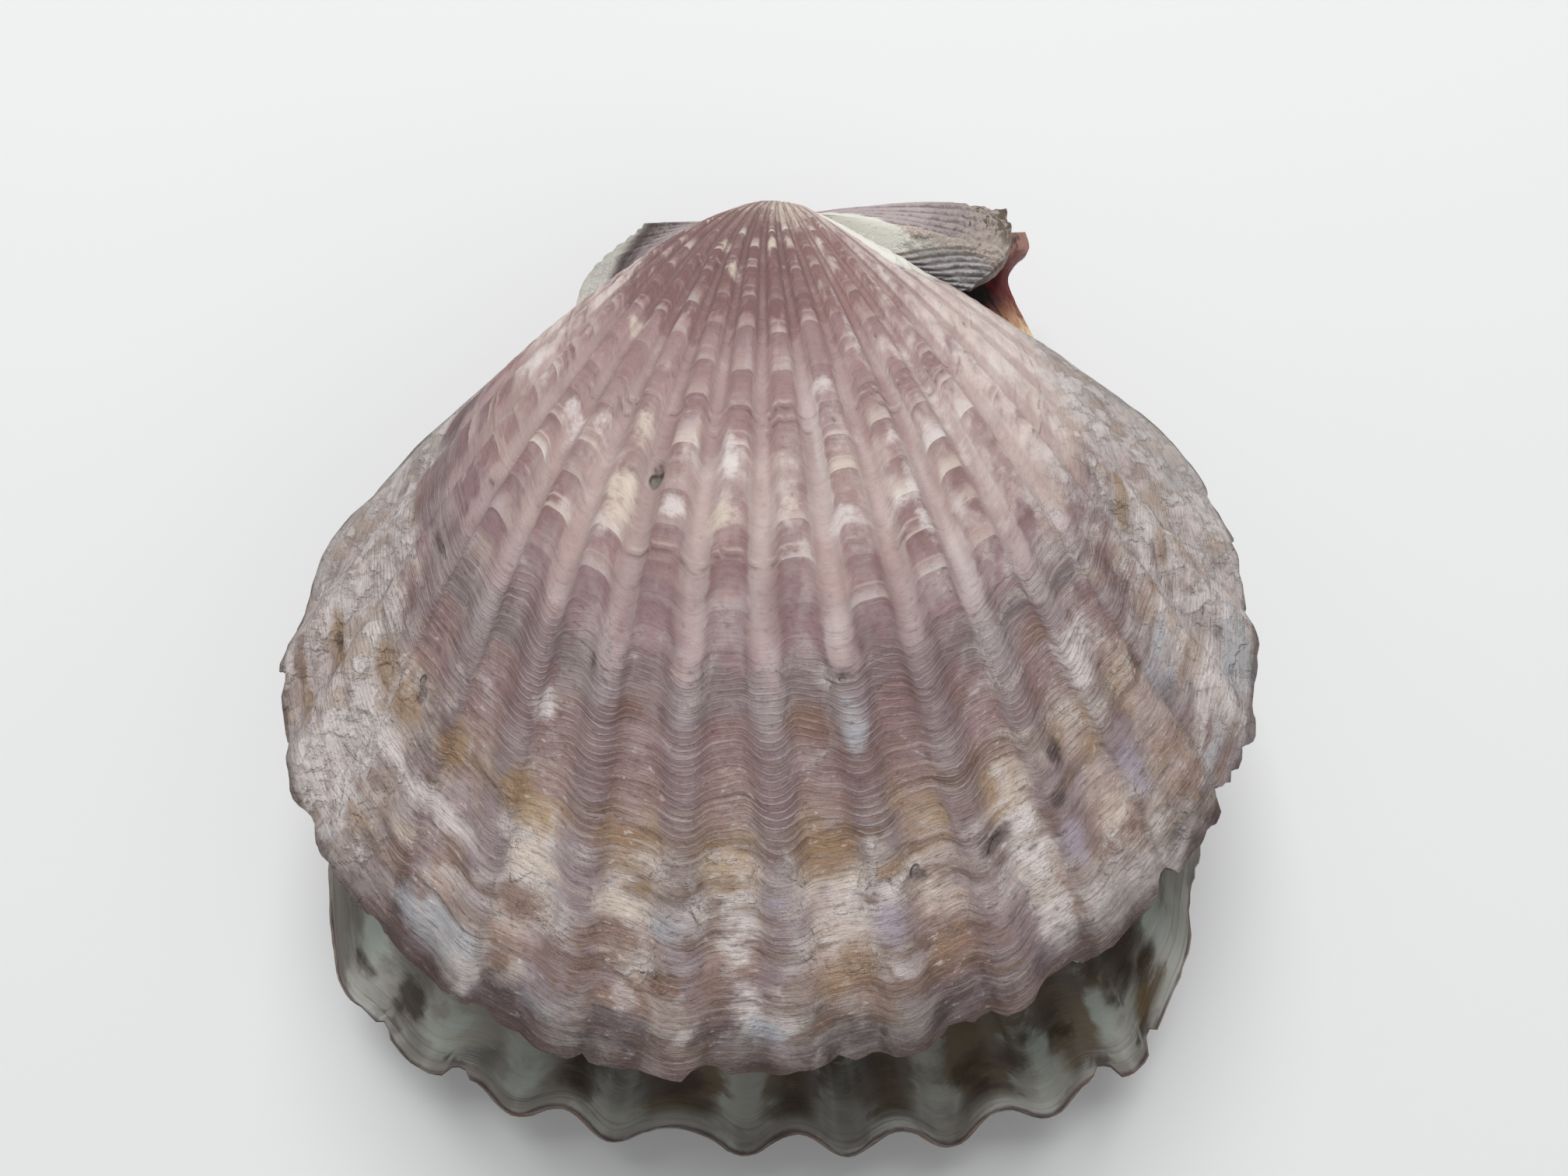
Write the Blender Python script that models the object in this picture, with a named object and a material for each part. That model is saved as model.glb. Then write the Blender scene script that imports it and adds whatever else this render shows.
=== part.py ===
"""A large ribbed scallop shell: two valves that gape a little and the ligament that still joins them.

Every valve is one growth surface. Its margin is an outline around the hinge centre, given as a radius for each
angle from the ventral midline. A younger margin is the same outline, smaller and turned up about the hinge, so
the surface follows a logarithmic spiral from the margin back to the beak. Ribs are a wave over that surface.

Each valve is built in its own frame: the hinge line is the X axis, the margin plane is z = 0, the ventral edge
points to -Y and the outside of the valve faces +Z. The shell lies on the dome of its lower valve.
"""

import math
from typing import NamedTuple

import bmesh
import bpy
import numpy as np
from mathutils import Matrix

MM = 0.001

# Lie of the shell: the gape between the two margin planes, and the attitude in which it rests on its dome.
GAPE_DEG = 19.5
REST_PITCH_DEG = 16.3
REST_ROLL_DEG = -0.5

# Growth: how fast the margin turns as it grows, and where the tip of the beak stops turning.
SPIRAL_RATE = 0.457
SPIRAL_MOST_TURN = 1.9
PLATE_MOST_TURN = 1.1

# Wall: lift of the outer surface over the margin plane, and the wall's thickness.
HINGE_LIFT = 2.9 * MM
DISC_LIFT = 2.0 * MM
HINGE_WALL = 2.4 * MM
MARGIN_WALL = 1.6 * MM
DISC_WALL = 2.8 * MM
PLATE_HEIGHT = HINGE_LIFT - HINGE_WALL
PLATE_END = 0.07
CAVITY_START = 0.24

# Ribs: their spacing as an angle at the hinge centre, their height from trough to crest at the margin, how far a
# crest reaches past the mean outline and a trough stays behind it, and where they fade on the shoulders.
RIB_PITCH_DEG = 6.08
RIB_OFFSET_DEG = -0.1
RIBS_EACH_SIDE = 9
UPPER_RIB_HEIGHT = 2.6 * MM
LOWER_RIB_HEIGHT = 2.7 * MM
UPPER_RIB_REACH = 0.002
LOWER_RIB_REACH = 0.005
RIB_FADE_START_DEG = 30.0
RIB_FADE_END_DEG = 57.0

# The lower valve's ribs are weaker on its flanks, and its posterior ribs stand further out than the upper valve's.
FLANK_START_DEG = 16.0
FLANK_END_DEG = 24.0
LOWER_FLANK_SHARE = 0.4
LOWER_RIB_SHIFT_DEG = 1.7
SHIFT_START_DEG = 4.0
SHIFT_END_DEG = 10.0
SAMPLES_PER_RIB = 6

# Course of the ribs: bunched on the young shell, swept to the anterior side near the margin.
BUNCHING = 0.48
BUNCHED_UNTIL = 0.6
SWEEP_DEG = 1.6
SWEEP_START = 0.55
DISC_EDGE_DEG = 60.0

# Beak: its tip leans to the anterior side.
BEAK_LEAN = 3.2 * MM
BEAK_END = 0.25

# Growth stages and ear angles at which the surface is sampled.
STAGES = (0.02, 0.06, 0.13, 0.24, 0.38, 0.52, 0.68, 0.85, 1.0)
EAR_ANGLES_DEG = (59.0, 62.0, 66.0, 71.0, 77.0, 84.0, 90.0)
NORMAL_STEP = 0.02
NORMAL_STEP_DEG = 0.4

# Growth stages between which the wall thins to its margin, and between which the ribs come to show inside.
WALL_THIN_START = 0.55
WALL_THIN_END = 1.0
FLUTE_START = 0.25
FLUTE_END = 0.8

# Outlines: (angle from the ventral midline in degrees, radius in mm). Negative angles are the posterior side.
UPPER_OUTLINE = (
    (-90, 21.5), (-84, 23.4), (-73, 30.5), (-66, 35.5), (-60, 39), (-56, 43), (-53.5, 52), (-51, 68), (-47, 90),
    (-41, 111), (-33, 129), (-24, 141), (-18, 147), (-12, 151.5), (-6, 153.5), (0, 152.5), (12, 149), (24, 139),
    (33, 129), (40, 117), (46, 104), (52, 89), (56, 75), (58.5, 56), (61, 39.5), (65, 40), (70, 42.5), (77, 44),
    (85, 44), (90, 42.5),
)
LOWER_OUTLINE = (
    (-90, 22), (-84, 24), (-73, 30), (-66, 34.5), (-60, 38), (-56, 44), (-53.5, 55), (-51, 70), (-47, 89),
    (-41, 110), (-35, 130), (-30, 147), (-25, 154.5), (-15, 158), (0, 159), (15, 160), (24, 156.5), (29, 145),
    (34, 132), (41, 114), (47, 94), (52, 78), (56, 67), (60, 60), (66, 53.5), (70, 49.8), (74, 46.8), (78, 45),
    (82, 45.8), (86, 48.2), (90, 47.5),
)

# Bulge of each ear over its hinge plate; an ear falls back towards its free edge by EAR_FALL of the bulge.
POSTERIOR_EAR_BULGE = 0.6 * MM
UPPER_ANTERIOR_EAR_BULGE = 7.2 * MM
LOWER_ANTERIOR_EAR_BULGE = 1.2 * MM
EAR_RISE_POWER = 0.7
EAR_FALL = 0.65
EAR_FALL_POWER = 5
EAR_START_DEG = 60.0
EAR_FULL_DEG = 72.0

# Ligament: a strip along the hinge line and a cushion between the two hinge plates.
CONTACT_GAP = 0.3 * MM
LIGAMENT_START_X = -21.0 * MM
LIGAMENT_END_X = 40.0 * MM
LIGAMENT_DEPTH = 1.6 * MM
CUSHION_HALF_WIDTH_BACK = 2.6 * MM
CUSHION_HALF_WIDTH_FRONT = 4.2 * MM
CUSHION_DEPTH = 4.6 * MM


class ValveForm(NamedTuple):
    """What differs between the two valves."""

    outline: tuple
    rib_reach: float
    rib_height: float
    rib_shift: float
    flank_share: float
    anterior_bulge: float


def clear_scene():
    """Remove everything that a new scene starts with."""
    for obj in list(bpy.data.objects):
        bpy.data.objects.remove(obj, do_unlink=True)


def make_material(name, colour, roughness):
    """A plain non-metal finish."""
    material = bpy.data.materials.new(name)
    material.use_nodes = True
    shader = material.node_tree.nodes["Principled BSDF"]
    shader.inputs["Base Color"].default_value = (*colour, 1.0)
    shader.inputs["Roughness"].default_value = roughness
    shader.inputs["Metallic"].default_value = 0.0
    return material


def smoothstep(low, high, value):
    """0 below low, 1 above high, with a soft ramp between them."""
    ramp = np.clip((np.asarray(value, float) - low) / (high - low), 0.0, 1.0)
    return ramp * ramp * (3.0 - 2.0 * ramp)


def outline_radius(outline, angle_deg):
    """Radius of a margin outline at an angle, on a smooth curve through the outline's points."""
    angles, radii = (np.array(column, float) for column in zip(*outline))
    slopes = np.gradient(radii, angles)
    index = np.clip(np.searchsorted(angles, angle_deg) - 1, 0, len(angles) - 2)
    span = angles[index + 1] - angles[index]
    t = np.clip((angle_deg - angles[index]) / span, 0.0, 1.0)
    start = (1 + 2 * t) * (1 - t) ** 2 * radii[index] + t * (1 - t) ** 2 * span * slopes[index]
    end = t * t * (3 - 2 * t) * radii[index + 1] + t * t * (t - 1) * span * slopes[index + 1]
    return (start + end) * MM


def rib_wave(form, angle_deg):
    """Ribbing across the disc: 1 on a crest, -1 in a trough, weaker on the flanks and 0 on the shoulders."""
    shift = form.rib_shift * smoothstep(SHIFT_START_DEG, SHIFT_END_DEG, -angle_deg)
    phase = (angle_deg + shift - RIB_OFFSET_DEG) / RIB_PITCH_DEG - 0.5
    fade = 1.0 - smoothstep(RIB_FADE_START_DEG, RIB_FADE_END_DEG, abs(angle_deg))
    fade *= 1.0 - (1.0 - form.flank_share) * smoothstep(FLANK_START_DEG, FLANK_END_DEG, abs(angle_deg))
    return math.cos(2.0 * math.pi * phase) * float(fade)


def sample_angles():
    """Angles at which a valve is sampled: crest, flanks and trough of each rib, then the ears."""
    steps = RIBS_EACH_SIDE * SAMPLES_PER_RIB
    disc = [RIB_OFFSET_DEG + RIB_PITCH_DEG * k / SAMPLES_PER_RIB for k in range(-steps, steps + 1)]
    return [-a for a in reversed(EAR_ANGLES_DEG)] + disc + list(EAR_ANGLES_DEG)


def course(angle_deg, stage):
    """Where the line that ends near an angle of the margin stands at a growth stage."""
    free = max(0.0, 1.0 - (angle_deg / DISC_EDGE_DEG) ** 2)
    youth = max(0.0, (BUNCHED_UNTIL - stage) / BUNCHED_UNTIL)
    sweep = SWEEP_DEG * float(smoothstep(SWEEP_START, 1.0, stage))
    return angle_deg + free * (sweep - angle_deg * BUNCHING * youth ** 2)


def growth_point(form, angle_deg, stage, most_turn):
    """A point of the bare growth surface: the margin at an angle, scaled to a stage and turned about the hinge."""
    place = course(angle_deg, stage)
    radius = float(outline_radius(form.outline, place)) * (1.0 + form.rib_reach * rib_wave(form, angle_deg))
    across = radius * math.sin(math.radians(place))
    ahead = radius * math.cos(math.radians(place))
    turn = min(SPIRAL_RATE * math.log(1.0 / stage), most_turn)
    lean = BEAK_LEAN * max(0.0, 1.0 - stage / BEAK_END) ** 2 * (1.0 - ear_share(angle_deg))
    return np.array((stage * across + lean, -stage * ahead * math.cos(turn), stage * ahead * math.sin(turn)))


def ear_share(angle_deg):
    """How far an angle lies inside an ear: 0 on the disc, 1 on the ear."""
    return float(smoothstep(EAR_START_DEG, EAR_FULL_DEG, abs(angle_deg)))


def outer_point(form, angle_deg, stage):
    """A point of the valve's outside, before its ribs are raised."""
    ear = ear_share(angle_deg)
    bulge = form.anterior_bulge if angle_deg > 0 else POSTERIOR_EAR_BULGE
    lift = DISC_LIFT + (HINGE_LIFT - DISC_LIFT) * ear
    point = growth_point(form, angle_deg, stage, SPIRAL_MOST_TURN)
    point[2] += lift + bulge * ear * stage ** EAR_RISE_POWER * (1.0 - EAR_FALL * stage ** EAR_FALL_POWER)
    return point


def outer_normal(form, angle_deg, stage):
    """Unit normal of the outside, pointing out of the valve."""
    side = min(angle_deg, 90.0 - NORMAL_STEP_DEG)
    along = outer_point(form, angle_deg, stage * (1.0 + NORMAL_STEP)) - outer_point(
        form, angle_deg, stage * (1.0 - NORMAL_STEP)
    )
    across = outer_point(form, side + NORMAL_STEP_DEG, stage) - outer_point(form, side, stage)
    normal = np.cross(along, across)
    return normal / np.linalg.norm(normal)


def wall_points(form, angle_deg, stage):
    """The outside point and the inside point of the wall at an angle and a stage."""
    base = outer_point(form, angle_deg, stage)
    normal = outer_normal(form, angle_deg, stage)
    rib = normal * rib_wave(form, angle_deg) * 0.5 * form.rib_height * stage
    ear = ear_share(angle_deg)
    disc_wall = DISC_WALL + (MARGIN_WALL - DISC_WALL) * float(smoothstep(WALL_THIN_START, WALL_THIN_END, stage))
    disc_inner = base - normal * disc_wall + rib * float(smoothstep(FLUTE_START, FLUTE_END, stage))
    ear_inner = base - np.array((0.0, 0.0, HINGE_WALL))
    plate = growth_point(form, angle_deg, stage, PLATE_MOST_TURN)
    plate[2] = PLATE_HEIGHT
    hollow = disc_inner + (ear_inner - disc_inner) * ear
    inner = plate + (hollow - plate) * float(smoothstep(PLATE_END, CAVITY_START, stage))
    inner[2] = max(inner[2], DISC_LIFT - MARGIN_WALL)
    return base + rib, inner


def add_strip_faces(bm, first, second):
    """Quads between two rows of vertices of equal length."""
    for a, b, c, d in zip(first, first[1:], second[1:], second):
        bm.faces.new((a, b, c, d))


def build_valve(name, form, material):
    """One valve as a closed body: outside, inside, and the edge that joins them."""
    bm = bmesh.new()
    angles = sample_angles()
    outer_tip = bm.verts.new((BEAK_LEAN / 2.0, 0.0, HINGE_LIFT))
    inner_tip = bm.verts.new((BEAK_LEAN / 2.0, 0.0, PLATE_HEIGHT))
    outer_rows = []
    inner_rows = []
    for stage in STAGES:
        points = [wall_points(form, angle, stage) for angle in angles]
        outer_rows.append([bm.verts.new(outer) for outer, _ in points])
        inner_rows.append([bm.verts.new(inner) for _, inner in points])
    for rows, tip in ((outer_rows, outer_tip), (inner_rows, inner_tip)):
        for a, b in zip(rows[0], rows[0][1:]):
            bm.faces.new((tip, a, b))
        for near, far in zip(rows, rows[1:]):
            add_strip_faces(bm, near, far)
    add_strip_faces(bm, outer_rows[-1], inner_rows[-1])
    for end in (0, -1):
        outer_edge = [outer_tip] + [row[end] for row in outer_rows]
        inner_edge = [inner_tip] + [row[end] for row in inner_rows]
        add_strip_faces(bm, outer_edge, inner_edge)
    bmesh.ops.triangulate(bm, faces=bm.faces[:])
    bmesh.ops.recalc_face_normals(bm, faces=bm.faces[:])
    return finish_object(name, bm, material)


def build_ligament(material):
    """The ligament: a T in plan, whose upper face is level and whose lower face follows the gaping lower plate."""
    slope = math.tan(math.radians(GAPE_DEG))
    outline = (
        (LIGAMENT_START_X, 0.0),
        (LIGAMENT_END_X, 0.0),
        (LIGAMENT_END_X, -LIGAMENT_DEPTH),
        (CUSHION_HALF_WIDTH_BACK, -LIGAMENT_DEPTH),
        (CUSHION_HALF_WIDTH_FRONT, -CUSHION_DEPTH),
        (-CUSHION_HALF_WIDTH_FRONT, -CUSHION_DEPTH),
        (-CUSHION_HALF_WIDTH_BACK, -LIGAMENT_DEPTH),
        (LIGAMENT_START_X, -LIGAMENT_DEPTH),
    )
    bm = bmesh.new()
    top = [bm.verts.new((x, y, PLATE_HEIGHT - CONTACT_GAP)) for x, y in outline]
    bottom = [bm.verts.new((x, y, CONTACT_GAP - PLATE_HEIGHT + y * slope)) for x, y in outline]
    bm.faces.new(top)
    bm.faces.new(bottom)
    add_strip_faces(bm, top + top[:1], bottom + bottom[:1])
    bmesh.ops.recalc_face_normals(bm, faces=bm.faces[:])
    bmesh.ops.triangulate(bm, faces=bm.faces[:])
    return finish_object("hinge_ligament", bm, material)


def finish_object(name, bm, material):
    """Put a finished mesh into the scene under its own name."""
    mesh = bpy.data.meshes.new(name)
    bm.to_mesh(mesh)
    bm.free()
    mesh.materials.append(material)
    mesh.shade_smooth()
    mesh.set_sharp_from_angle(angle=math.radians(50.0))
    obj = bpy.data.objects.new(name, mesh)
    bpy.context.scene.collection.objects.link(obj)
    return obj


def lay_down(objects):
    """Hang every piece on one empty at the hinge centre, turn it to rest, and centre the shell over the origin."""
    hinge = bpy.data.objects.new("hinge_centre", None)
    bpy.context.scene.collection.objects.link(hinge)
    for obj in objects:
        obj.parent = hinge
    hinge.rotation_euler = (math.radians(-REST_PITCH_DEG), math.radians(REST_ROLL_DEG), 0.0)
    bpy.context.view_layer.update()
    corners = np.vstack([[obj.matrix_world @ vertex.co for vertex in obj.data.vertices] for obj in objects])
    low, high = corners.min(axis=0), corners.max(axis=0)
    hinge.location = (-(low[0] + high[0]) / 2.0, -(low[1] + high[1]) / 2.0, -low[2])


def main():
    """Build the shell."""
    clear_scene()
    outside = make_material("shell_outside", (0.32, 0.22, 0.20), 0.6)
    inside = make_material("shell_inside", (0.42, 0.40, 0.36), 0.4)
    horn = make_material("ligament_horn", (0.05, 0.03, 0.02), 0.5)
    upper_form = ValveForm(UPPER_OUTLINE, UPPER_RIB_REACH, UPPER_RIB_HEIGHT, 0.0, 1.0, UPPER_ANTERIOR_EAR_BULGE)
    lower_form = ValveForm(
        LOWER_OUTLINE,
        LOWER_RIB_REACH,
        LOWER_RIB_HEIGHT,
        LOWER_RIB_SHIFT_DEG,
        LOWER_FLANK_SHARE,
        LOWER_ANTERIOR_EAR_BULGE,
    )
    upper = build_valve("upper_valve", upper_form, outside)
    lower = build_valve("lower_valve", lower_form, inside)
    lower.data.transform(Matrix.Scale(-1.0, 4, (0.0, 0.0, 1.0)))
    lower.data.flip_normals()
    lower.rotation_euler = (math.radians(GAPE_DEG), 0.0, 0.0)
    ligament = build_ligament(horn)
    lay_down([upper, lower, ligament])


main()
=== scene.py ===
"""Looks of a gaping pair of large ribbed scallop valves, still joined by their dried hinge ligament.

Each valve is one growth surface: its margin is an outline round the hinge centre, and a younger margin is the same
outline, smaller and turned up about the hinge. A point of a valve is known by its angle from the ventral midline,
in degrees, and by its growth stage, from 0 at the beak to 1 at the margin. Relief and markings are laid out in those
two coordinates. Negative angles are the posterior side.
"""

import logging
import math
from collections.abc import Callable, Iterable, Iterator
from dataclasses import dataclass, field
from enum import Enum, IntEnum
from functools import cached_property
from typing import ClassVar, NamedTuple

import bpy
import numpy as np
from mathutils import Euler, Matrix, Vector


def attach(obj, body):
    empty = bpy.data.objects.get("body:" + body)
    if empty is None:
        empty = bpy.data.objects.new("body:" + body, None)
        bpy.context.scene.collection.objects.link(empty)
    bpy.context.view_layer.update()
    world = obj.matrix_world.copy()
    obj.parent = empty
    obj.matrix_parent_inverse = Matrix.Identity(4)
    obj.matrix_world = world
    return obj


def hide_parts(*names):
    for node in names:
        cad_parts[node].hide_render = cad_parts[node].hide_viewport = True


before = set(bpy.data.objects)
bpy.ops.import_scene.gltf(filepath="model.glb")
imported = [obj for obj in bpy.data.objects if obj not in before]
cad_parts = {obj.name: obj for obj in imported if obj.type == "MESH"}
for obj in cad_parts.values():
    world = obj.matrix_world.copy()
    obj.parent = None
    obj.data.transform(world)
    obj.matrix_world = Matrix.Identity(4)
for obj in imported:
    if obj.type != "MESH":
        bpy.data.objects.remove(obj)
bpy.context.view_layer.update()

MM = 0.001
BODY = "root"
BAKE_MAP = "OFBake"

Array = np.ndarray
Colour = tuple[float, float, float]
Outline = tuple[tuple[float, float], ...]
Bands = tuple[tuple[float, Colour], ...]

# Lie of the shell: the middle of the hinge line, the turn of the hinge frame, and the gape of the valves.
HINGE_CENTRE = Vector((-0.310 * MM, 78.893 * MM, 31.539 * MM))
HINGE_TURN = Euler((math.radians(-16.3), math.radians(-0.5), 0.0))
HINGE_FRAME = Matrix.Translation(HINGE_CENTRE) @ HINGE_TURN.to_matrix().to_4x4()
GAPE = math.radians(19.5)

UPPER_OUTLINE: Outline = (
    (-90, 21.5), (-84, 23.4), (-73, 30.5), (-66, 35.5), (-60, 39), (-56, 43), (-53.5, 52), (-51, 68), (-47, 90),
    (-41, 111), (-33, 129), (-24, 141), (-18, 147), (-12, 151.5), (-6, 153.5), (0, 152.5), (12, 149), (24, 139),
    (33, 129), (40, 117), (46, 104), (52, 89), (56, 75), (58.5, 56), (61, 39.5), (65, 40), (70, 42.5), (77, 44),
    (85, 44), (90, 42.5),
)
LOWER_OUTLINE: Outline = (
    (-90, 22), (-84, 24), (-73, 30), (-66, 34.5), (-60, 38), (-56, 44), (-53.5, 55), (-51, 70), (-47, 89),
    (-41, 110), (-35, 130), (-30, 147), (-25, 154.5), (-15, 158), (0, 159), (15, 160), (24, 156.5), (29, 145),
    (34, 132), (41, 114), (47, 94), (52, 78), (56, 67), (60, 60), (66, 53.5), (70, 49.8), (74, 46.8), (78, 45),
    (82, 45.8), (86, 48.2), (90, 47.5),
)

# Angles between which the ribbing fades where it has to reach over the whole valve.
FULL_WAVE = (88.0, 90.0)
# Angles on both sides between which each kind of relief fades towards the ears.
RIB_FADE, LAG_FADE, SCALE_FADE = (34.0, 58.0), (40.0, 60.0), (54.0, 60.0)
HALT_FADE, DISC_FADE = (50.0, 60.0), (56.0, 61.0)
# Core and edge of a blotch and of a pit, in shares of their reach.
BLOTCH_FADE, PIT_FADE = (0.3, 1.7), (0.45, 1.0)
# Beyond this angle a point lies on the hinge edge.
HINGE_ANGLE = 89.99
# Faces that meet at a wider angle than this keep a crisp edge between them.
CREASE_ANGLE = math.radians(60.0)
# Free border of the unfolded wall, and the height from which its fans hang.
UV_MARGIN, UV_TOP = 0.01, 0.985
# Share of light that a surface mirrors: weathered or inner shell, and anything else.
DULL_SPECULAR, PLAIN_SPECULAR = 0.35, 0.5


class Region(IntEnum):
    """The parts of a valve's wall that have a finish of their own."""

    OUTSIDE = 0
    INSIDE = 1
    EDGE = 2


class Tint(Enum):
    """The stains and worn patches of the outside, each kept as a mask on the mesh."""

    CREAM = "cream"
    WHITE = "white"
    OCHRE = "ochre"
    LILAC = "lilac"
    BLUE = "blue"
    SLATE = "slate"
    RUSSET = "russet"
    UMBER = "umber"


class Seed(IntEnum):
    """Picks the pattern of each kind of unevenness."""

    LAYERS = 3
    FINE_LAYERS = 4
    SCALE_PATCHES = 5
    SCALE_START = 6
    WAVES = 9
    FINE_WAVES = 10
    ROUGHNESS = 12
    TORN = 13
    CHIPS = 31
    BAYS = 32
    FLANK_BAYS = 33
    FLANK_CHIPS = 34
    INSIDE = 41
    RIM = 51
    DRIFT = 61
    LAG = 62
    RIB_PAUSES = 71
    PAUSE_DRIFT = 72
    CORDS = 81
    EAR_EDGE = 91
    EAR_BAND = 92
    CRUST = 94
    RIDGE = 95
    LIGAMENT = 121


# Waves of each kind of unevenness to one rib or degree across, and to the whole growth along.
PACES: dict[Seed, tuple[float, float]] = {
    Seed.LAYERS: (0.5, 7.0),
    Seed.FINE_LAYERS: (1.9, 22.0),
    Seed.SCALE_PATCHES: (0.8, 26.0),
    Seed.SCALE_START: (0.31, 0.0),
    Seed.WAVES: (0.9, 13.0),
    Seed.FINE_WAVES: (4.0, 60.0),
    Seed.ROUGHNESS: (1.1, 110.0),
    Seed.TORN: (0.22, 16.0),
    Seed.CHIPS: (1.7, 0.0),
    Seed.BAYS: (0.4, 0.0),
    Seed.FLANK_BAYS: (0.9, 0.0),
    Seed.FLANK_CHIPS: (2.4, 0.0),
    Seed.INSIDE: (0.5, 22.0),
    Seed.RIM: (1.1, 9.0),
    Seed.DRIFT: (0.37, 3.0),
    Seed.LAG: (1.1, 9.0),
    Seed.CORDS: (0.2, 9.0),
    Seed.EAR_EDGE: (0.3, 30.0),
    Seed.EAR_BAND: (0.3, 12.0),
    Seed.CRUST: (0.45, 22.0),
    Seed.RIDGE: (0.5, 30.0),
    Seed.LIGAMENT: (0.3, 2.0),
}

Rows = tuple[tuple[float, ...], ...]
Blotches = dict[Tint, Rows]


def tone(red: float, green: float, blue: float) -> Colour:
    """A colour as it is seen, from 0 to 255 a channel, made linear."""
    return tuple(c / 3294.6 if c <= 10.31 else ((c / 255.0 + 0.055) / 1.055) ** 2.4 for c in (red, green, blue))


def smoothstep(low: float, high: float, value: Array | float) -> Array:
    """0 below low, 1 above high, with a soft ramp between them."""
    ramp = np.clip((np.asarray(value, float) - low) / (high - low), 0.0, 1.0)
    return ramp * ramp * (3.0 - 2.0 * ramp)


def fall(low: float, high: float, value: Array | float) -> Array:
    """1 below low, 0 above high, with a soft ramp between them."""
    return 1.0 - smoothstep(low, high, value)


def hill(x: Array) -> Array:
    """A bell that is 1 at 0."""
    return np.exp(-(x**2))


def window(low: float, high: float, soft: float, value: Array) -> Array:
    """1 between low and high, fading to 0 over a distance of soft outside them."""
    return smoothstep(low - soft, low, value) * fall(high, high + soft, value)


def grain(x: Array, y: Array, seed: int) -> Array:
    """Smooth random waves about one unit long.

    Args:
        x: First coordinate.
        y: Second coordinate.
        seed: Picks one pattern among many.

    Returns:
        Values from -1 to 1.
    """
    column, row = np.floor(x).astype(np.int64), np.floor(y).astype(np.int64)
    across, along = x - column, y - row
    across, along = across * across * (3 - 2 * across), along * along * (3 - 2 * along)

    def corner(right: int, up: int) -> Array:
        """Random value of one lattice point."""
        mixed = ((column + right) * 374761393 + (row + up) * 668265263 + seed * 144269504) & 0xFFFFFFFF
        mixed = ((mixed ^ (mixed >> 13)) * 1274126177) & 0xFFFFFFFF
        return ((mixed ^ (mixed >> 16)) & 0xFFFF) / 32767.5 - 1.0

    low = corner(0, 0) * (1 - across) + corner(1, 0) * across
    high = corner(0, 1) * (1 - across) + corner(1, 1) * across
    return low * (1 - along) + high * along


def fractal(x: Array, y: Array, seed: int, octaves: int = 3) -> Array:
    """Grain added up over octaves, each half as large and half as strong as the one before."""
    total = sum(grain(x * 2**k, y * 2**k, seed + 17 * k) / 2**k for k in range(octaves))
    return total / (2.0 - 0.5 ** (octaves - 1))


def uneven(kind: Seed, across: Array, along: Array, octaves: int = 3) -> Array:
    """Unevenness of one kind, from -1 to 1, at places across and along the shell."""
    across_pace, along_pace = PACES[kind]
    return fractal(across * across_pace, along * along_pace, kind, octaves)


def soften(grid: Array, reach: int) -> Array:
    """A grid of rows and columns, averaged over a square of 2 * reach + 1 cells."""
    for axis in (0, 1):
        width = [(reach + 1, reach) if axis == a else (0, 0) for a in (0, 1)]
        total = np.cumsum(np.pad(grid, width, mode="edge"), axis=axis)
        size = 2 * reach + 1
        total = total[size:] - total[:-size] if axis == 0 else total[:, size:] - total[:, :-size]
        grid = total / size
    return grid


def read(items: bpy.types.bpy_prop_collection, name: str, kind: type, width: int = 1) -> Array:
    """One property of every item of a mesh, as an array with so many columns."""
    flat = np.empty(len(items) * width, kind)
    items.foreach_get(name, flat)
    return flat if width == 1 else flat.reshape(-1, width)


def face_outwards() -> None:
    """Turn the faces of the active object outwards, and shade them smooth up to the crease angle."""
    bpy.ops.object.mode_set(mode="EDIT")
    bpy.ops.mesh.select_all(action="SELECT")
    bpy.ops.mesh.normals_make_consistent(inside=False)
    bpy.ops.object.mode_set(mode="OBJECT")
    bpy.ops.object.shade_smooth_by_angle(angle=CREASE_ANGLE)


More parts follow.
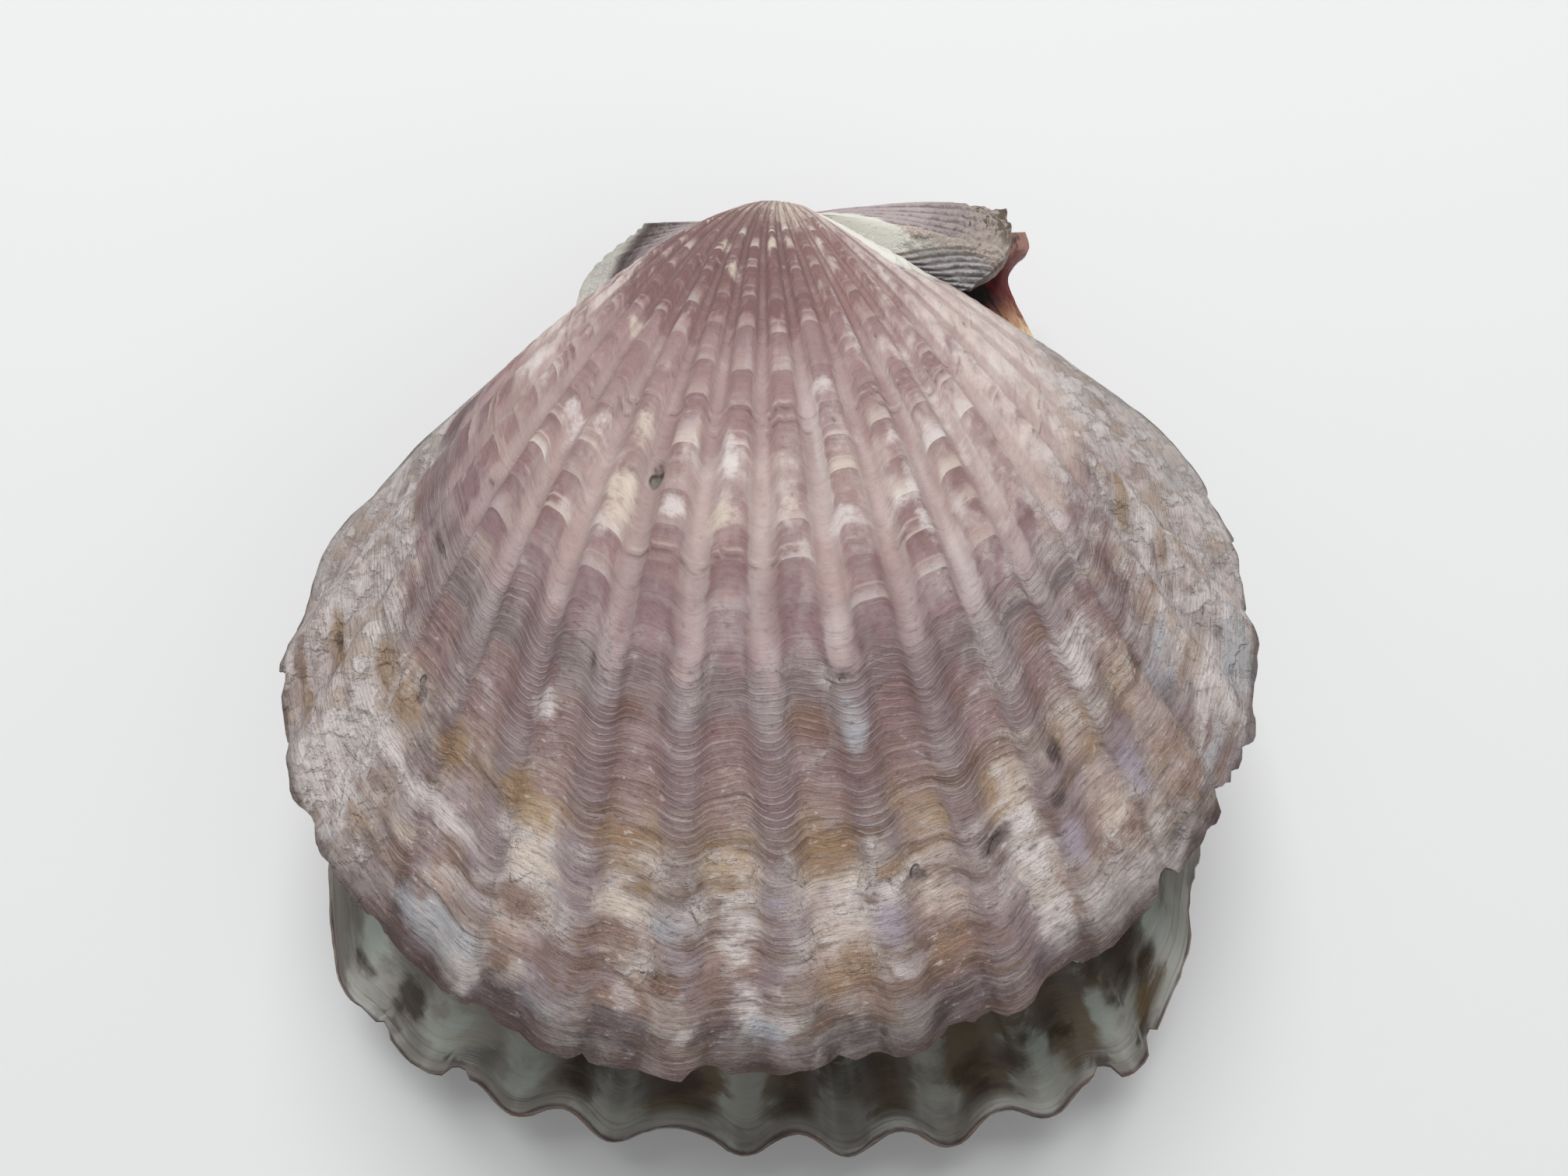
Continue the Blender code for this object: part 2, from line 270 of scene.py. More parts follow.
@dataclass(frozen=True)
class GrowthLaw:
    """How a valve's surface grows: the outline of its margin and the spiral that leads back to the beak."""

    outline: Outline
    rib_reach: float
    rib_height: float
    anterior_bulge: float
    rib_shift: float = 0.0
    flank_share: float = 1.0
    posterior_bulge: float = 0.6 * MM
    spiral_rate: float = 0.457
    most_turn: float = 1.9
    plate_most_turn: float = 1.1
    hinge_lift: float = 2.9 * MM
    disc_lift: float = 2.0 * MM
    hinge_wall: float = 2.4 * MM
    margin_wall: float = 1.6 * MM
    disc_wall: float = 2.8 * MM
    rib_pitch: float = 6.08
    rib_offset: float = -0.1
    bunching: float = 0.48
    bunched_until: float = 0.6
    sweep: float = 1.6
    beak_lean: float = 3.2 * MM
    beak_end: float = 0.25
    ear_fall: float = 0.65

    @property
    def plate_height(self) -> float:
        """Height of the hinge plate over the margin plane."""
        return self.hinge_lift - self.hinge_wall

    def radius(self, angle: Array) -> Array:
        """Radius of the margin at an angle, on a smooth curve through the outline's points."""
        angles, radii = (np.array(column, float) for column in zip(*self.outline))
        slopes = np.gradient(radii, angles)
        index = np.clip(np.searchsorted(angles, angle) - 1, 0, len(angles) - 2)
        span = angles[index + 1] - angles[index]
        t = np.clip((angle - angles[index]) / span, 0.0, 1.0)
        start = (1 + 2 * t) * (1 - t) ** 2 * radii[index] + t * (1 - t) ** 2 * span * slopes[index]
        end = t * t * (3 - 2 * t) * radii[index + 1] + t * t * (t - 1) * span * slopes[index + 1]
        return (start + end) * MM

    def fan(self, angle: Array) -> Array:
        """Angle counted in ribs: every crest stands at a half."""
        shift = self.rib_shift * smoothstep(4.0, 10.0, -angle)
        return (angle + shift - self.rib_offset) / self.rib_pitch

    def wave(self, angle: Array, fade_start: float = 30.0, fade_end: float = 57.0) -> Array:
        """Ribbing: 1 on a crest, -1 in a trough, weaker on the flanks and 0 on the shoulders."""
        fade = fall(fade_start, fade_end, np.abs(angle))
        fade = fade * (1.0 - (1.0 - self.flank_share) * smoothstep(16.0, 24.0, np.abs(angle)))
        return np.cos(math.tau * (self.fan(angle) - 0.5)) * fade

    def ear_share(self, angle: Array) -> Array:
        """How far an angle lies inside an ear: 0 on the disc, 1 on the ear."""
        return smoothstep(60.0, 72.0, np.abs(angle))

    def course(self, angle: Array, stage: Array) -> Array:
        """Where the line that ends near an angle of the margin stands at a growth stage."""
        free = np.clip(1.0 - (angle / 60.0) ** 2, 0.0, None)
        youth = np.clip((self.bunched_until - stage) / self.bunched_until, 0.0, None)
        sweep = self.sweep * smoothstep(0.55, 1.0, stage)
        return angle + free * (sweep - angle * self.bunching * youth**2)

    def bare(self, angle: Array, stage: Array, most_turn: float) -> Array:
        """Points of the bare growth surface, in the frame of the valve's own hinge."""
        place = self.course(angle, stage)
        radius = self.radius(place) * (1.0 + self.rib_reach * self.wave(angle))
        across, ahead = radius * np.sin(np.radians(place)), radius * np.cos(np.radians(place))
        turn = np.minimum(self.spiral_rate * np.log(1.0 / stage), most_turn)
        lean = self.beak_lean * np.clip(1.0 - stage / self.beak_end, 0.0, None) ** 2
        x = stage * across + lean * (1.0 - self.ear_share(angle))
        return np.stack((x, -stage * ahead * np.cos(turn), stage * ahead * np.sin(turn)), axis=-1)

    def outside(self, angle: Array, stage: Array) -> Array:
        """Points of the valve's outside, before its ribs are raised."""
        ear = self.ear_share(angle)
        bulge = np.where(angle > 0, self.anterior_bulge, self.posterior_bulge)
        points = self.bare(angle, stage, self.most_turn)
        points[..., 2] += self.disc_lift + (self.hinge_lift - self.disc_lift) * ear
        points[..., 2] += bulge * ear * stage**0.7 * (1.0 - self.ear_fall * stage**5)
        return points

    def normal(self, angle: Array, stage: Array) -> Array:
        """Unit normals of the outside, pointing out of the valve."""
        step = 0.4
        side = np.minimum(angle, 90.0 - step)
        along = self.outside(angle, stage * 1.02) - self.outside(angle, stage * 0.98)
        across = self.outside(side + step, stage) - self.outside(side, stage)
        normal = np.cross(along, across)
        return normal / np.linalg.norm(normal, axis=-1, keepdims=True)

    def inside(self, angle: Array, stage: Array) -> Array:
        """Points of the valve's inside: the hollow of the disc, the ears and the flat hinge plate."""
        base, normal = self.outside(angle, stage), self.normal(angle, stage)
        wall = self.disc_wall + (self.margin_wall - self.disc_wall) * smoothstep(0.55, 1.0, stage)
        flute = 0.5 * self.rib_height * stage * self.wave(angle) * smoothstep(0.25, 0.8, stage)
        hollow = base - normal * (wall - flute)[..., None]
        under_ear = base - np.array((0.0, 0.0, self.hinge_wall))
        hollow += (under_ear - hollow) * self.ear_share(angle)[..., None]
        plate = self.bare(angle, stage, self.plate_most_turn)
        plate[..., 2] = self.plate_height
        points = plate + (hollow - plate) * smoothstep(0.07, 0.24, stage)[..., None]
        points[..., 2] = np.maximum(points[..., 2], self.disc_lift - self.margin_wall)
        return points


@dataclass(frozen=True)
class Patch:
    """A place in shell coordinates, how far it reaches, how deep or how strong it is, and how far it leans."""

    angle: float
    stage: float
    half_angle: float
    half_stage: float
    depth: float
    lean: float = 0.0

    def cover(self, angle: Array, stage: Array, core: float, edge: float) -> Array:
        """Its depth: full within the core and nothing beyond the edge, both in shares of its reach."""
        along = (stage - self.stage) / self.half_stage
        across = (angle - self.angle) / self.half_angle - self.lean * along
        return self.depth * fall(core, edge, np.hypot(across, along))


@dataclass(frozen=True)
class Relief:
    """Heights and depths of everything finer than the ribs, in millimetres."""

    layer: float = 0.15
    pause: float = 0.18
    waves: float = 0.10
    old_waves: float = 0.42
    fine_waves: float = 0.10
    roughness: float = 0.05
    torn: float = 0.75
    halt: float = 0.05
    cord: float = 0.2
    ear_cord: float = 0.26
    ear_arc: float = 0.22
    ear_crust: float = 1.1
    ear_crease: float = 0.9
    ear_ridge: float = 0.7
    crevice: float = 0.22
    inner_flute: float = 0.28
    inner_scar: float = 0.25
    inner_line: float = 0.12
    inner_roughness: float = 0.08


@dataclass
class Valve:
    """One valve as a closed wall: its outside, its inside and the edge between them."""

    piece: str
    node: str
    slot: str
    law: GrowthLaw
    mirrored: bool = False
    blotches: Blotches = field(default_factory=dict)
    pits: Rows = ()
    pauses: tuple[float, ...] = (
        0.1, 0.13, 0.16, 0.19, 0.225, 0.26, 0.3, 0.34, 0.39, 0.43, 0.47, 0.51, 0.545, 0.58, 0.62, 0.665
    )
    nicks: Rows = ()
    relief: Relief = Relief()
    halt_stages: tuple[float, ...] = (0.245, 0.432, 0.446, 0.576)
    halt_width: float = 0.0032
    cord_pitch: float = 3.4
    margin_arch: float = 0.7
    chipping: float = 1.0
    chip_depth: float = 0.002
    drift: float = 0.006
    full_stage: float = 1.0
    inset: float = 0.42
    ear_columns: int = 30
    notch_columns: int = 46
    disc_columns: int = 290
    outer_rows: int = 200
    rim_rows: int = 5
    inner_rows: int = 52
    first_stage: float = 0.012
    outer_share: float = 0.62
    layers_per_shell: float = 50.0
    merge_reach: float = 0.002 * MM
    tip_reach: float = 1e-7
    face_reach: float = 1e-4
    unfolded_radius: float = 165.0 * MM

    def columns(self) -> Array:
        """The angles of the columns, from the posterior end of the hinge to the anterior end."""
        stops = (-90.0, -60.0, 60.0, 76.0, 90.0)
        counts = (self.ear_columns, self.disc_columns, self.notch_columns, self.ear_columns // 2)
        spans = [np.linspace(start, end, count + 1)[:-1] for start, end, count in zip(stops, stops[1:], counts)]
        return np.concatenate((*spans, stops[-1:]))

    def margin_stage(self, angle: Array) -> Array:
        """The growth stage that the chipped margin reaches at each angle."""
        fine = self.chip_depth * self.chipping * (1.0 + uneven(Seed.CHIPS, angle, angle))
        arch = self.margin_arch * (self.lag(angle, np.ones(angle.shape)) + 0.009) * (1.0 - self.law.ear_share(angle))
        flank = window(30.0, 56.0, 6.0, np.abs(angle))
        coarse = 0.0
        for depth, where, kind in (
            (0.004, 1.0, Seed.BAYS), (0.018, flank, Seed.FLANK_BAYS), (0.004, flank, Seed.FLANK_CHIPS)
        ):
            coarse = coarse + depth * self.chipping * where * np.clip(uneven(kind, angle, angle), 0.0, None)
        stage = self.full_stage - fine - coarse - arch
        for place, half, depth in self.nicks:
            stage = stage - depth * fall(0.7, 1.2, np.abs(angle - place) / half)
        return stage

    def stages(self, rows: int, gather: float) -> Array:
        """The growth stages of so many rows, closer together near the margin the larger gather is."""
        t = np.linspace(0.0, 1.0, rows)
        return self.first_stage + (1.0 - self.first_stage) * ((1.0 + gather) * t - gather * t * t)

    def lag(self, angle: Array, stage: Array) -> Array:
        """How far growth lines stay behind on the ribs: wide arches towards the beak, with narrow dips between."""
        reach = np.interp(stage, (0.0, 0.3, 0.7, 1.0), (0.003, 0.008, 0.010, 0.009))
        fade = fall(*LAG_FADE, np.abs(angle))
        varied = 0.85 + 0.6 * uneven(Seed.LAG, self.law.fan(angle), stage)
        return reach * fade * varied * np.tanh(1.25 * (self.law.wave(angle, *FULL_WAVE) + 0.35)) / 0.93

    def lagged(self, angle: Array, stage: Array) -> Array:
        """Growth as its lines show it."""
        return stage + self.lag(angle, stage) + self.drift * uneven(Seed.DRIFT, self.law.fan(angle), stage)

    def rib_profile(self, angle: Array, stage: Array) -> Array:
        """Ribs as they look: broad, with a rounded top, and a little narrower near the margin."""
        wave = self.law.wave(angle, *FULL_WAVE)
        share = 1.0 - 0.55 * smoothstep(0.62, 0.84, stage)
        box = np.tanh(1.6 * (wave + 0.3)) / math.tanh(2.08)
        return wave + (box - wave) * share

    def pause_phase(self, angle: Array, growth: Array) -> Array:
        """Growth counted in pauses, a little differently on every rib."""
        steps = np.interp(growth, self.pauses, np.arange(len(self.pauses)))
        own = grain(np.floor(self.law.fan(angle)) + 0.5, growth * 0.0 + 0.5, Seed.RIB_PAUSES)
        drift = grain(np.floor(self.law.fan(angle)) * 3.7 + 0.5, steps * 0.45, Seed.PAUSE_DRIFT)
        return np.maximum(steps + 0.22 * own + 0.3 * drift, 0.0)

    def layer_phase(self, angle: Array, growth: Array) -> Array:
        """Growth counted in scaly layers, which wander and run into each other."""
        fan = self.law.fan(angle)
        coarse, fine = uneven(Seed.LAYERS, fan, growth), uneven(Seed.FINE_LAYERS, fan, growth)
        return growth * self.layers_per_shell + 1.1 * coarse + 0.3 * fine

    def halts(self, growth: Array) -> Array:
        """Height of the small steps where growth halted for a while, from -1 below a step to 1 above it."""
        height = np.zeros(growth.shape)
        for stage in self.halt_stages:
            away = (growth - stage) / self.halt_width
            height += hill(away + 0.7) - hill(away - 0.7)
        return height

    def scaliness(self, angle: Array, growth: Array) -> Array:
        """How strongly the scaly layers stand out, from 0 to 1."""
        fan = self.law.fan(angle)
        patchy = 0.6 + 0.55 * uneven(Seed.SCALE_PATCHES, fan, growth)
        start = 0.665 + 0.02 * uneven(Seed.SCALE_START, fan, growth)
        band = smoothstep(start - 0.012, start + 0.006, growth) * (1.0 - 0.55 * smoothstep(0.77, 0.86, growth))
        return np.clip(patchy, 0.1, 1.0) * band * fall(*SCALE_FADE, np.abs(angle))

    def ribs(self, angle: Array, stage: Array) -> Array:
        """Height of the ribs, in millimetres."""
        fade = fall(*RIB_FADE, np.abs(angle))
        return self.rib_profile(angle, stage) * fade * 0.5 * self.law.rib_height / MM * stage

    def texture(self, angle: Array, stage: Array) -> Array:
        """Height of everything finer than the ribs, in millimetres."""
        relief, fan, growth = self.relief, self.law.fan(angle), self.lagged(angle, stage)
        on_disc = fall(*DISC_FADE, np.abs(angle))
        phase = self.layer_phase(angle, growth)
        scaly = self.scaliness(angle, growth)
        height = relief.layer * scaly * (phase - np.floor(phase) - 0.5)
        pause = self.pause_phase(angle, growth)
        crest = smoothstep(-0.4, 0.3, self.rib_profile(angle, stage)) * fall(0.64, 0.68, growth)
        height += relief.pause * crest * on_disc * (pause - np.floor(pause)) ** 2 * smoothstep(0.1, 0.3, stage)
        strength = relief.waves + relief.old_waves * smoothstep(0.68, 0.88, growth)
        height += strength * uneven(Seed.WAVES, fan, growth) * on_disc
        old = smoothstep(0.7, 0.85, growth)
        height += relief.fine_waves * old * uneven(Seed.FINE_WAVES, fan, growth) * on_disc
        height += relief.roughness * uneven(Seed.ROUGHNESS, angle, stage)
        flank = window(27.0, 58.0, 9.0, np.abs(angle)) * smoothstep(0.62, 0.76, stage)
        height -= relief.torn * flank * np.abs(uneven(Seed.TORN, angle, stage))
        height += relief.halt * self.halts(growth) * on_disc
        for row in self.pits:
            height -= Patch(*row).cover(angle, stage, *PIT_FADE)
        return height + self.own_texture(angle, stage)

    def own_texture(self, angle: Array, stage: Array) -> Array:
        """Height of what only this valve has, in millimetres."""
        return self.relief.cord * self.cords(angle, stage)

    def cords(self, angle: Array, stage: Array) -> Array:
        """Fine radial cords on both ears, from -1 in a groove to 1 on a cord."""
        wander = 0.5 * uneven(Seed.CORDS, angle, stage)
        share = window(71.0, 90.5, 2.5, np.abs(angle)) * smoothstep(0.06, 0.3, stage)
        return share * np.cos(math.tau * (np.abs(angle) + wander) / self.cord_pitch)

    def paleness(self, angle: Array, stage: Array) -> Array:
        """How far the outside has bleached, from 0 to 1."""
        return 0.6 * smoothstep(30.0, 56.0, np.abs(angle)) * smoothstep(0.3, 0.8, stage)

    def inner_texture(self, angle: Array, stage: Array) -> Array:
        """Height of the inside over the plain hollow, in millimetres, towards the room between the valves."""
        wave = self.law.wave(angle, 40.0, 58.0)
        ridge = hill(wave / 0.35) * smoothstep(0.62, 0.92, stage)
        scar = np.hypot((angle + 12.0) / 15.0, (stage - 0.42) / 0.13)
        height = self.relief.inner_flute * ridge - self.relief.inner_scar * fall(0.85, 1.0, scar)
        height += self.relief.inner_line * smoothstep(0.71, 0.725, stage)
        height += self.relief.inner_roughness * uneven(Seed.INSIDE, angle, stage)
        return height * smoothstep(0.24, 0.4, stage) * (1.0 - self.law.ear_share(angle))

    def marks(self, angle: Array, stage: Array) -> dict[str, Array]:
        """Values of this valve's own markings, by name."""
        none = np.zeros(angle.shape)
        riblets = window(70.0, 90.5, 2.0, np.abs(angle))
        names = ("porcelain", "fasciole", "band", "bleached", "burnt", "notch", "ridge")
        return dict.fromkeys(names, none) | {"riblets": riblets}

    def outer_sheet(self, angles: Array, reach: Array) -> tuple[Array, Array, Array, Array]:
        """The outside: its points, angles, stages and fine height."""
        stage = self.stages(self.outer_rows, 0.25)[:, None] * reach
        angle = np.broadcast_to(angles, stage.shape)
        fine = self.texture(angle, stage)
        height = (self.ribs(angle, stage) + fine - self.inset) * MM
        points = self.law.outside(angle, stage) + self.law.normal(angle, stage) * height[..., None]
        points[0] = (self.law.beak_lean / 2.0, 0.0, self.law.hinge_lift)
        return points, angle, stage, fine

    def inner_sheet(self, angles: Array, reach: Array) -> tuple[Array, Array, Array]:
        """The inside, from the margin back to the beak: its points, angles and stages."""
        stage = self.stages(self.inner_rows, 0.2)[::-1, None] * reach
        angle = np.broadcast_to(angles, stage.shape)
        height = self.inner_texture(angle, stage) * MM
        points = self.law.inside(angle, stage) - self.law.normal(angle, stage) * height[..., None]
        points[-1] = (self.law.beak_lean / 2.0, 0.0, self.law.plate_height)
        return points, angle, stage

    def wall(self) -> tuple[Array, dict[str, Array]]:
        """Every point of the wall, row by row: down the outside, round the rim and back up the inside.

        Returns:
            The points in the valve's own frame, and the values that the finishes read, by name.
        """
        angles = self.columns()
        reach = self.margin_stage(angles)
        outer, outer_angle, outer_stage, fine = self.outer_sheet(angles, reach)
        inner, inner_angle, inner_stage = self.inner_sheet(angles, reach)
        side = np.linspace(0.0, 1.0, self.rim_rows + 2)[1:-1, None]
        outward = outer[-1] - outer[-4]
        outward /= np.linalg.norm(outward, axis=-1, keepdims=True)
        layer = 0.5 * uneven(Seed.RIM, angles, side, 2) - 0.3
        recess = layer * (1.0 - self.law.ear_share(angles)) * MM
        rim = outer[-1] * (1.0 - side[..., None]) + inner[0] * side[..., None] + outward * recess[..., None]
        shape = rim.shape[:2]
        angle = np.concatenate((outer_angle, np.broadcast_to(angles, shape), inner_angle))
        stage = np.concatenate((outer_stage, np.broadcast_to(reach, shape), inner_stage))
        across = np.concatenate((outer_stage * 0.0, np.broadcast_to(side, shape), inner_stage * 0.0 + 1.0))
        # The fine relief less its own blur: the outside's finish paints shade where it is low.
        crevice = np.concatenate((fine - soften(fine, 3), np.zeros(shape), inner_stage * 0.0))
        growth = self.lagged(angle, stage)
        values = {
            "angle": angle,
            "stage": stage,
            "across": across,
            "growth": growth,
            "fan": self.law.fan(angle),
            "rib": self.rib_profile(angle, stage),
            "pale": self.paleness(angle, stage),
            "cords": self.cords(angle, stage),
            "crevice": np.clip(crevice / self.relief.crevice, -1.0, 1.0),
            "pause": self.pause_phase(angle, growth),
            "layer": self.layer_phase(angle, growth),
            "scaly": self.scaliness(angle, growth),
            "halt": self.halts(growth) * fall(*HALT_FADE, np.abs(angle)),
        }
        values.update(self.marks(angle, stage))
        for tint in Tint:
            values[tint.value] = self.tint_mask(tint, angle, growth)
        return np.concatenate((outer, rim, inner)), values

    def tint_mask(self, tint: Tint, angle: Array, stage: Array) -> Array:
        """All patches of one tint as a mask from 0 to 1."""
        mask = np.zeros(angle.shape)
        for row in self.blotches.get(tint, ()):
            mask = np.maximum(mask, Patch(*row).cover(angle, stage, *BLOTCH_FADE))
        return mask

    def build(self, finishes: dict[Region, bpy.types.Material]) -> bpy.types.Object:
        """Build the valve, dress it and lay it in its place.

        Args:
            finishes: The material of each region.

        Returns:
            The finished object.
        """
        points, values = self.wall()
        rows, columns = points.shape[:2]
        bpy.ops.object.select_all(action="DESELECT")
        bpy.ops.mesh.primitive_grid_add(x_subdivisions=columns - 1, y_subdivisions=rows - 1, size=2.0)
        obj = bpy.context.object
        obj.name = obj.data.name = self.piece
        mesh = obj.data
        flat = read(mesh.vertices, "co", np.float32, 3)
        column = np.rint((flat[:, 0] + 1.0) / 2.0 * (columns - 1)).astype(int)
        row = np.rint((flat[:, 1] + 1.0) / 2.0 * (rows - 1)).astype(int)
        mesh.vertices.foreach_set("co", points[row, column].astype(np.float32).ravel())
        for name, value in values.items():
            layer = mesh.attributes.new(name, "FLOAT", "POINT")
            layer.data.foreach_set("value", value[row, column].astype(np.float32))
        self.close(obj)
        self.set_regions(mesh)
        self.unfold(mesh)
        for region in Region:
            mesh.materials.append(finishes[region])
        place = HINGE_FRAME
        if self.mirrored:
            place = place @ Matrix.Rotation(GAPE, 4, "X") @ Matrix.Scale(-1.0, 4, (0.0, 0.0, 1.0))
        mesh.transform(place)
        face_outwards()
        return obj

    def close(self, obj: bpy.types.Object) -> None:
        """Merge the rows that end in the two tips of the beak, and fill both ends of the hinge edge."""
        mesh = obj.data
        bpy.ops.object.mode_set(mode="EDIT")
        bpy.ops.mesh.select_all(action="SELECT")
        bpy.ops.mesh.remove_doubles(threshold=self.merge_reach)
        bpy.ops.mesh.select_all(action="DESELECT")
        bpy.ops.object.mode_set(mode="OBJECT")
        lean = self.law.beak_lean / 2.0
        tips = [v.index for v in mesh.vertices if (v.co - Vector((lean, 0.0, v.co.z))).length < self.tip_reach]
        mesh.edges.add(1)
        mesh.edges[-1].vertices = tips[:2]
        mesh.update()
        angle = self.point_value(mesh, "angle")
        for sign in (-1.0, 1.0):
            bpy.ops.object.mode_set(mode="OBJECT")
            chosen = angle * sign > HINGE_ANGLE
            chosen[tips[:2]] = True
            mesh.vertices.foreach_set("select", np.zeros(len(mesh.vertices), bool))
            mesh.polygons.foreach_set("select", np.zeros(len(mesh.polygons), bool))
            ends = read(mesh.edges, "vertices", np.int32, 2)
            mesh.edges.foreach_set("select", chosen[ends].all(axis=1))
            bpy.context.tool_settings.mesh_select_mode = (False, True, False)
            bpy.ops.object.mode_set(mode="EDIT")
            bpy.ops.mesh.fill(use_beauty=False)
        bpy.ops.object.mode_set(mode="OBJECT")
        bpy.context.tool_settings.mesh_select_mode = (True, False, False)

    def per_face(self, mesh: bpy.types.Mesh, name: str) -> Array:
        """The mean over each face of a value kept on the points."""
        value = self.point_value(mesh, name)[read(mesh.loops, "vertex_index", np.int32)]
        start, total = (read(mesh.polygons, part, np.int32) for part in ("loop_start", "loop_total"))
        return np.add.reduceat(value, start) / total

    @staticmethod
    def point_value(mesh: bpy.types.Mesh, name: str) -> Array:
        """A value kept on the points of a mesh."""
        return read(mesh.attributes[name].data, "value", np.float32)

    def set_regions(self, mesh: bpy.types.Mesh) -> None:
        """Give each face the material slot of its region."""
        across = self.per_face(mesh, "across")
        region = np.full(len(across), int(Region.EDGE), np.int32)
        region[across < self.face_reach] = Region.OUTSIDE
        region[across > 1.0 - self.face_reach] = Region.INSIDE
        mesh.polygons.foreach_set("material_index", region)

    def unfold(self, mesh: bpy.types.Mesh) -> None:
        """Lay the wall out flat: the outside and the inside as fans side by side, and the edge as strips below."""
        corners = read(mesh.loops, "vertex_index", np.int32)
        angle, stage, across = (self.point_value(mesh, n)[corners] for n in ("angle", "stage", "across"))
        total = read(mesh.polygons, "loop_total", np.int32)
        region = np.repeat(read(mesh.polygons, "material_index", np.int32), total)
        place = self.law.course(angle, stage)
        radius = self.law.radius(place) / self.unfolded_radius * stage
        right, down = radius * np.sin(np.radians(place)), radius * np.cos(np.radians(place))
        share = np.where(region == Region.OUTSIDE, self.outer_share, 1.0 - self.outer_share) - 2.0 * UV_MARGIN
        centre = np.where(region == Region.OUTSIDE, self.outer_share / 2.0, (1.0 + self.outer_share) / 2.0)
        u, v = centre + right * share, UV_TOP - down * share
        on_edge = region == Region.EDGE
        hinge = np.repeat(np.abs(self.per_face(mesh, "angle")), total) > HINGE_ANGLE
        u = np.where(on_edge, (angle + 90.0) / 180.0 * (1.0 - 2.0 * UV_MARGIN) + UV_MARGIN, u)
        v = np.where(on_edge, UV_MARGIN + 0.05 * across, v)
        u = np.where(on_edge & hinge, 2.0 * UV_MARGIN + 0.45 * stage + 0.5 * (angle > 0), u)
        v = np.where(on_edge & hinge, 8.0 * UV_MARGIN + 0.03 * across, v)
        layer = mesh.uv_layers.get("UVMap") or mesh.uv_layers.new(name=BAKE_MAP)
        layer.name = BAKE_MAP
        layer.data.foreach_set("uv", np.stack((u, v), axis=-1).astype(np.float32).ravel())


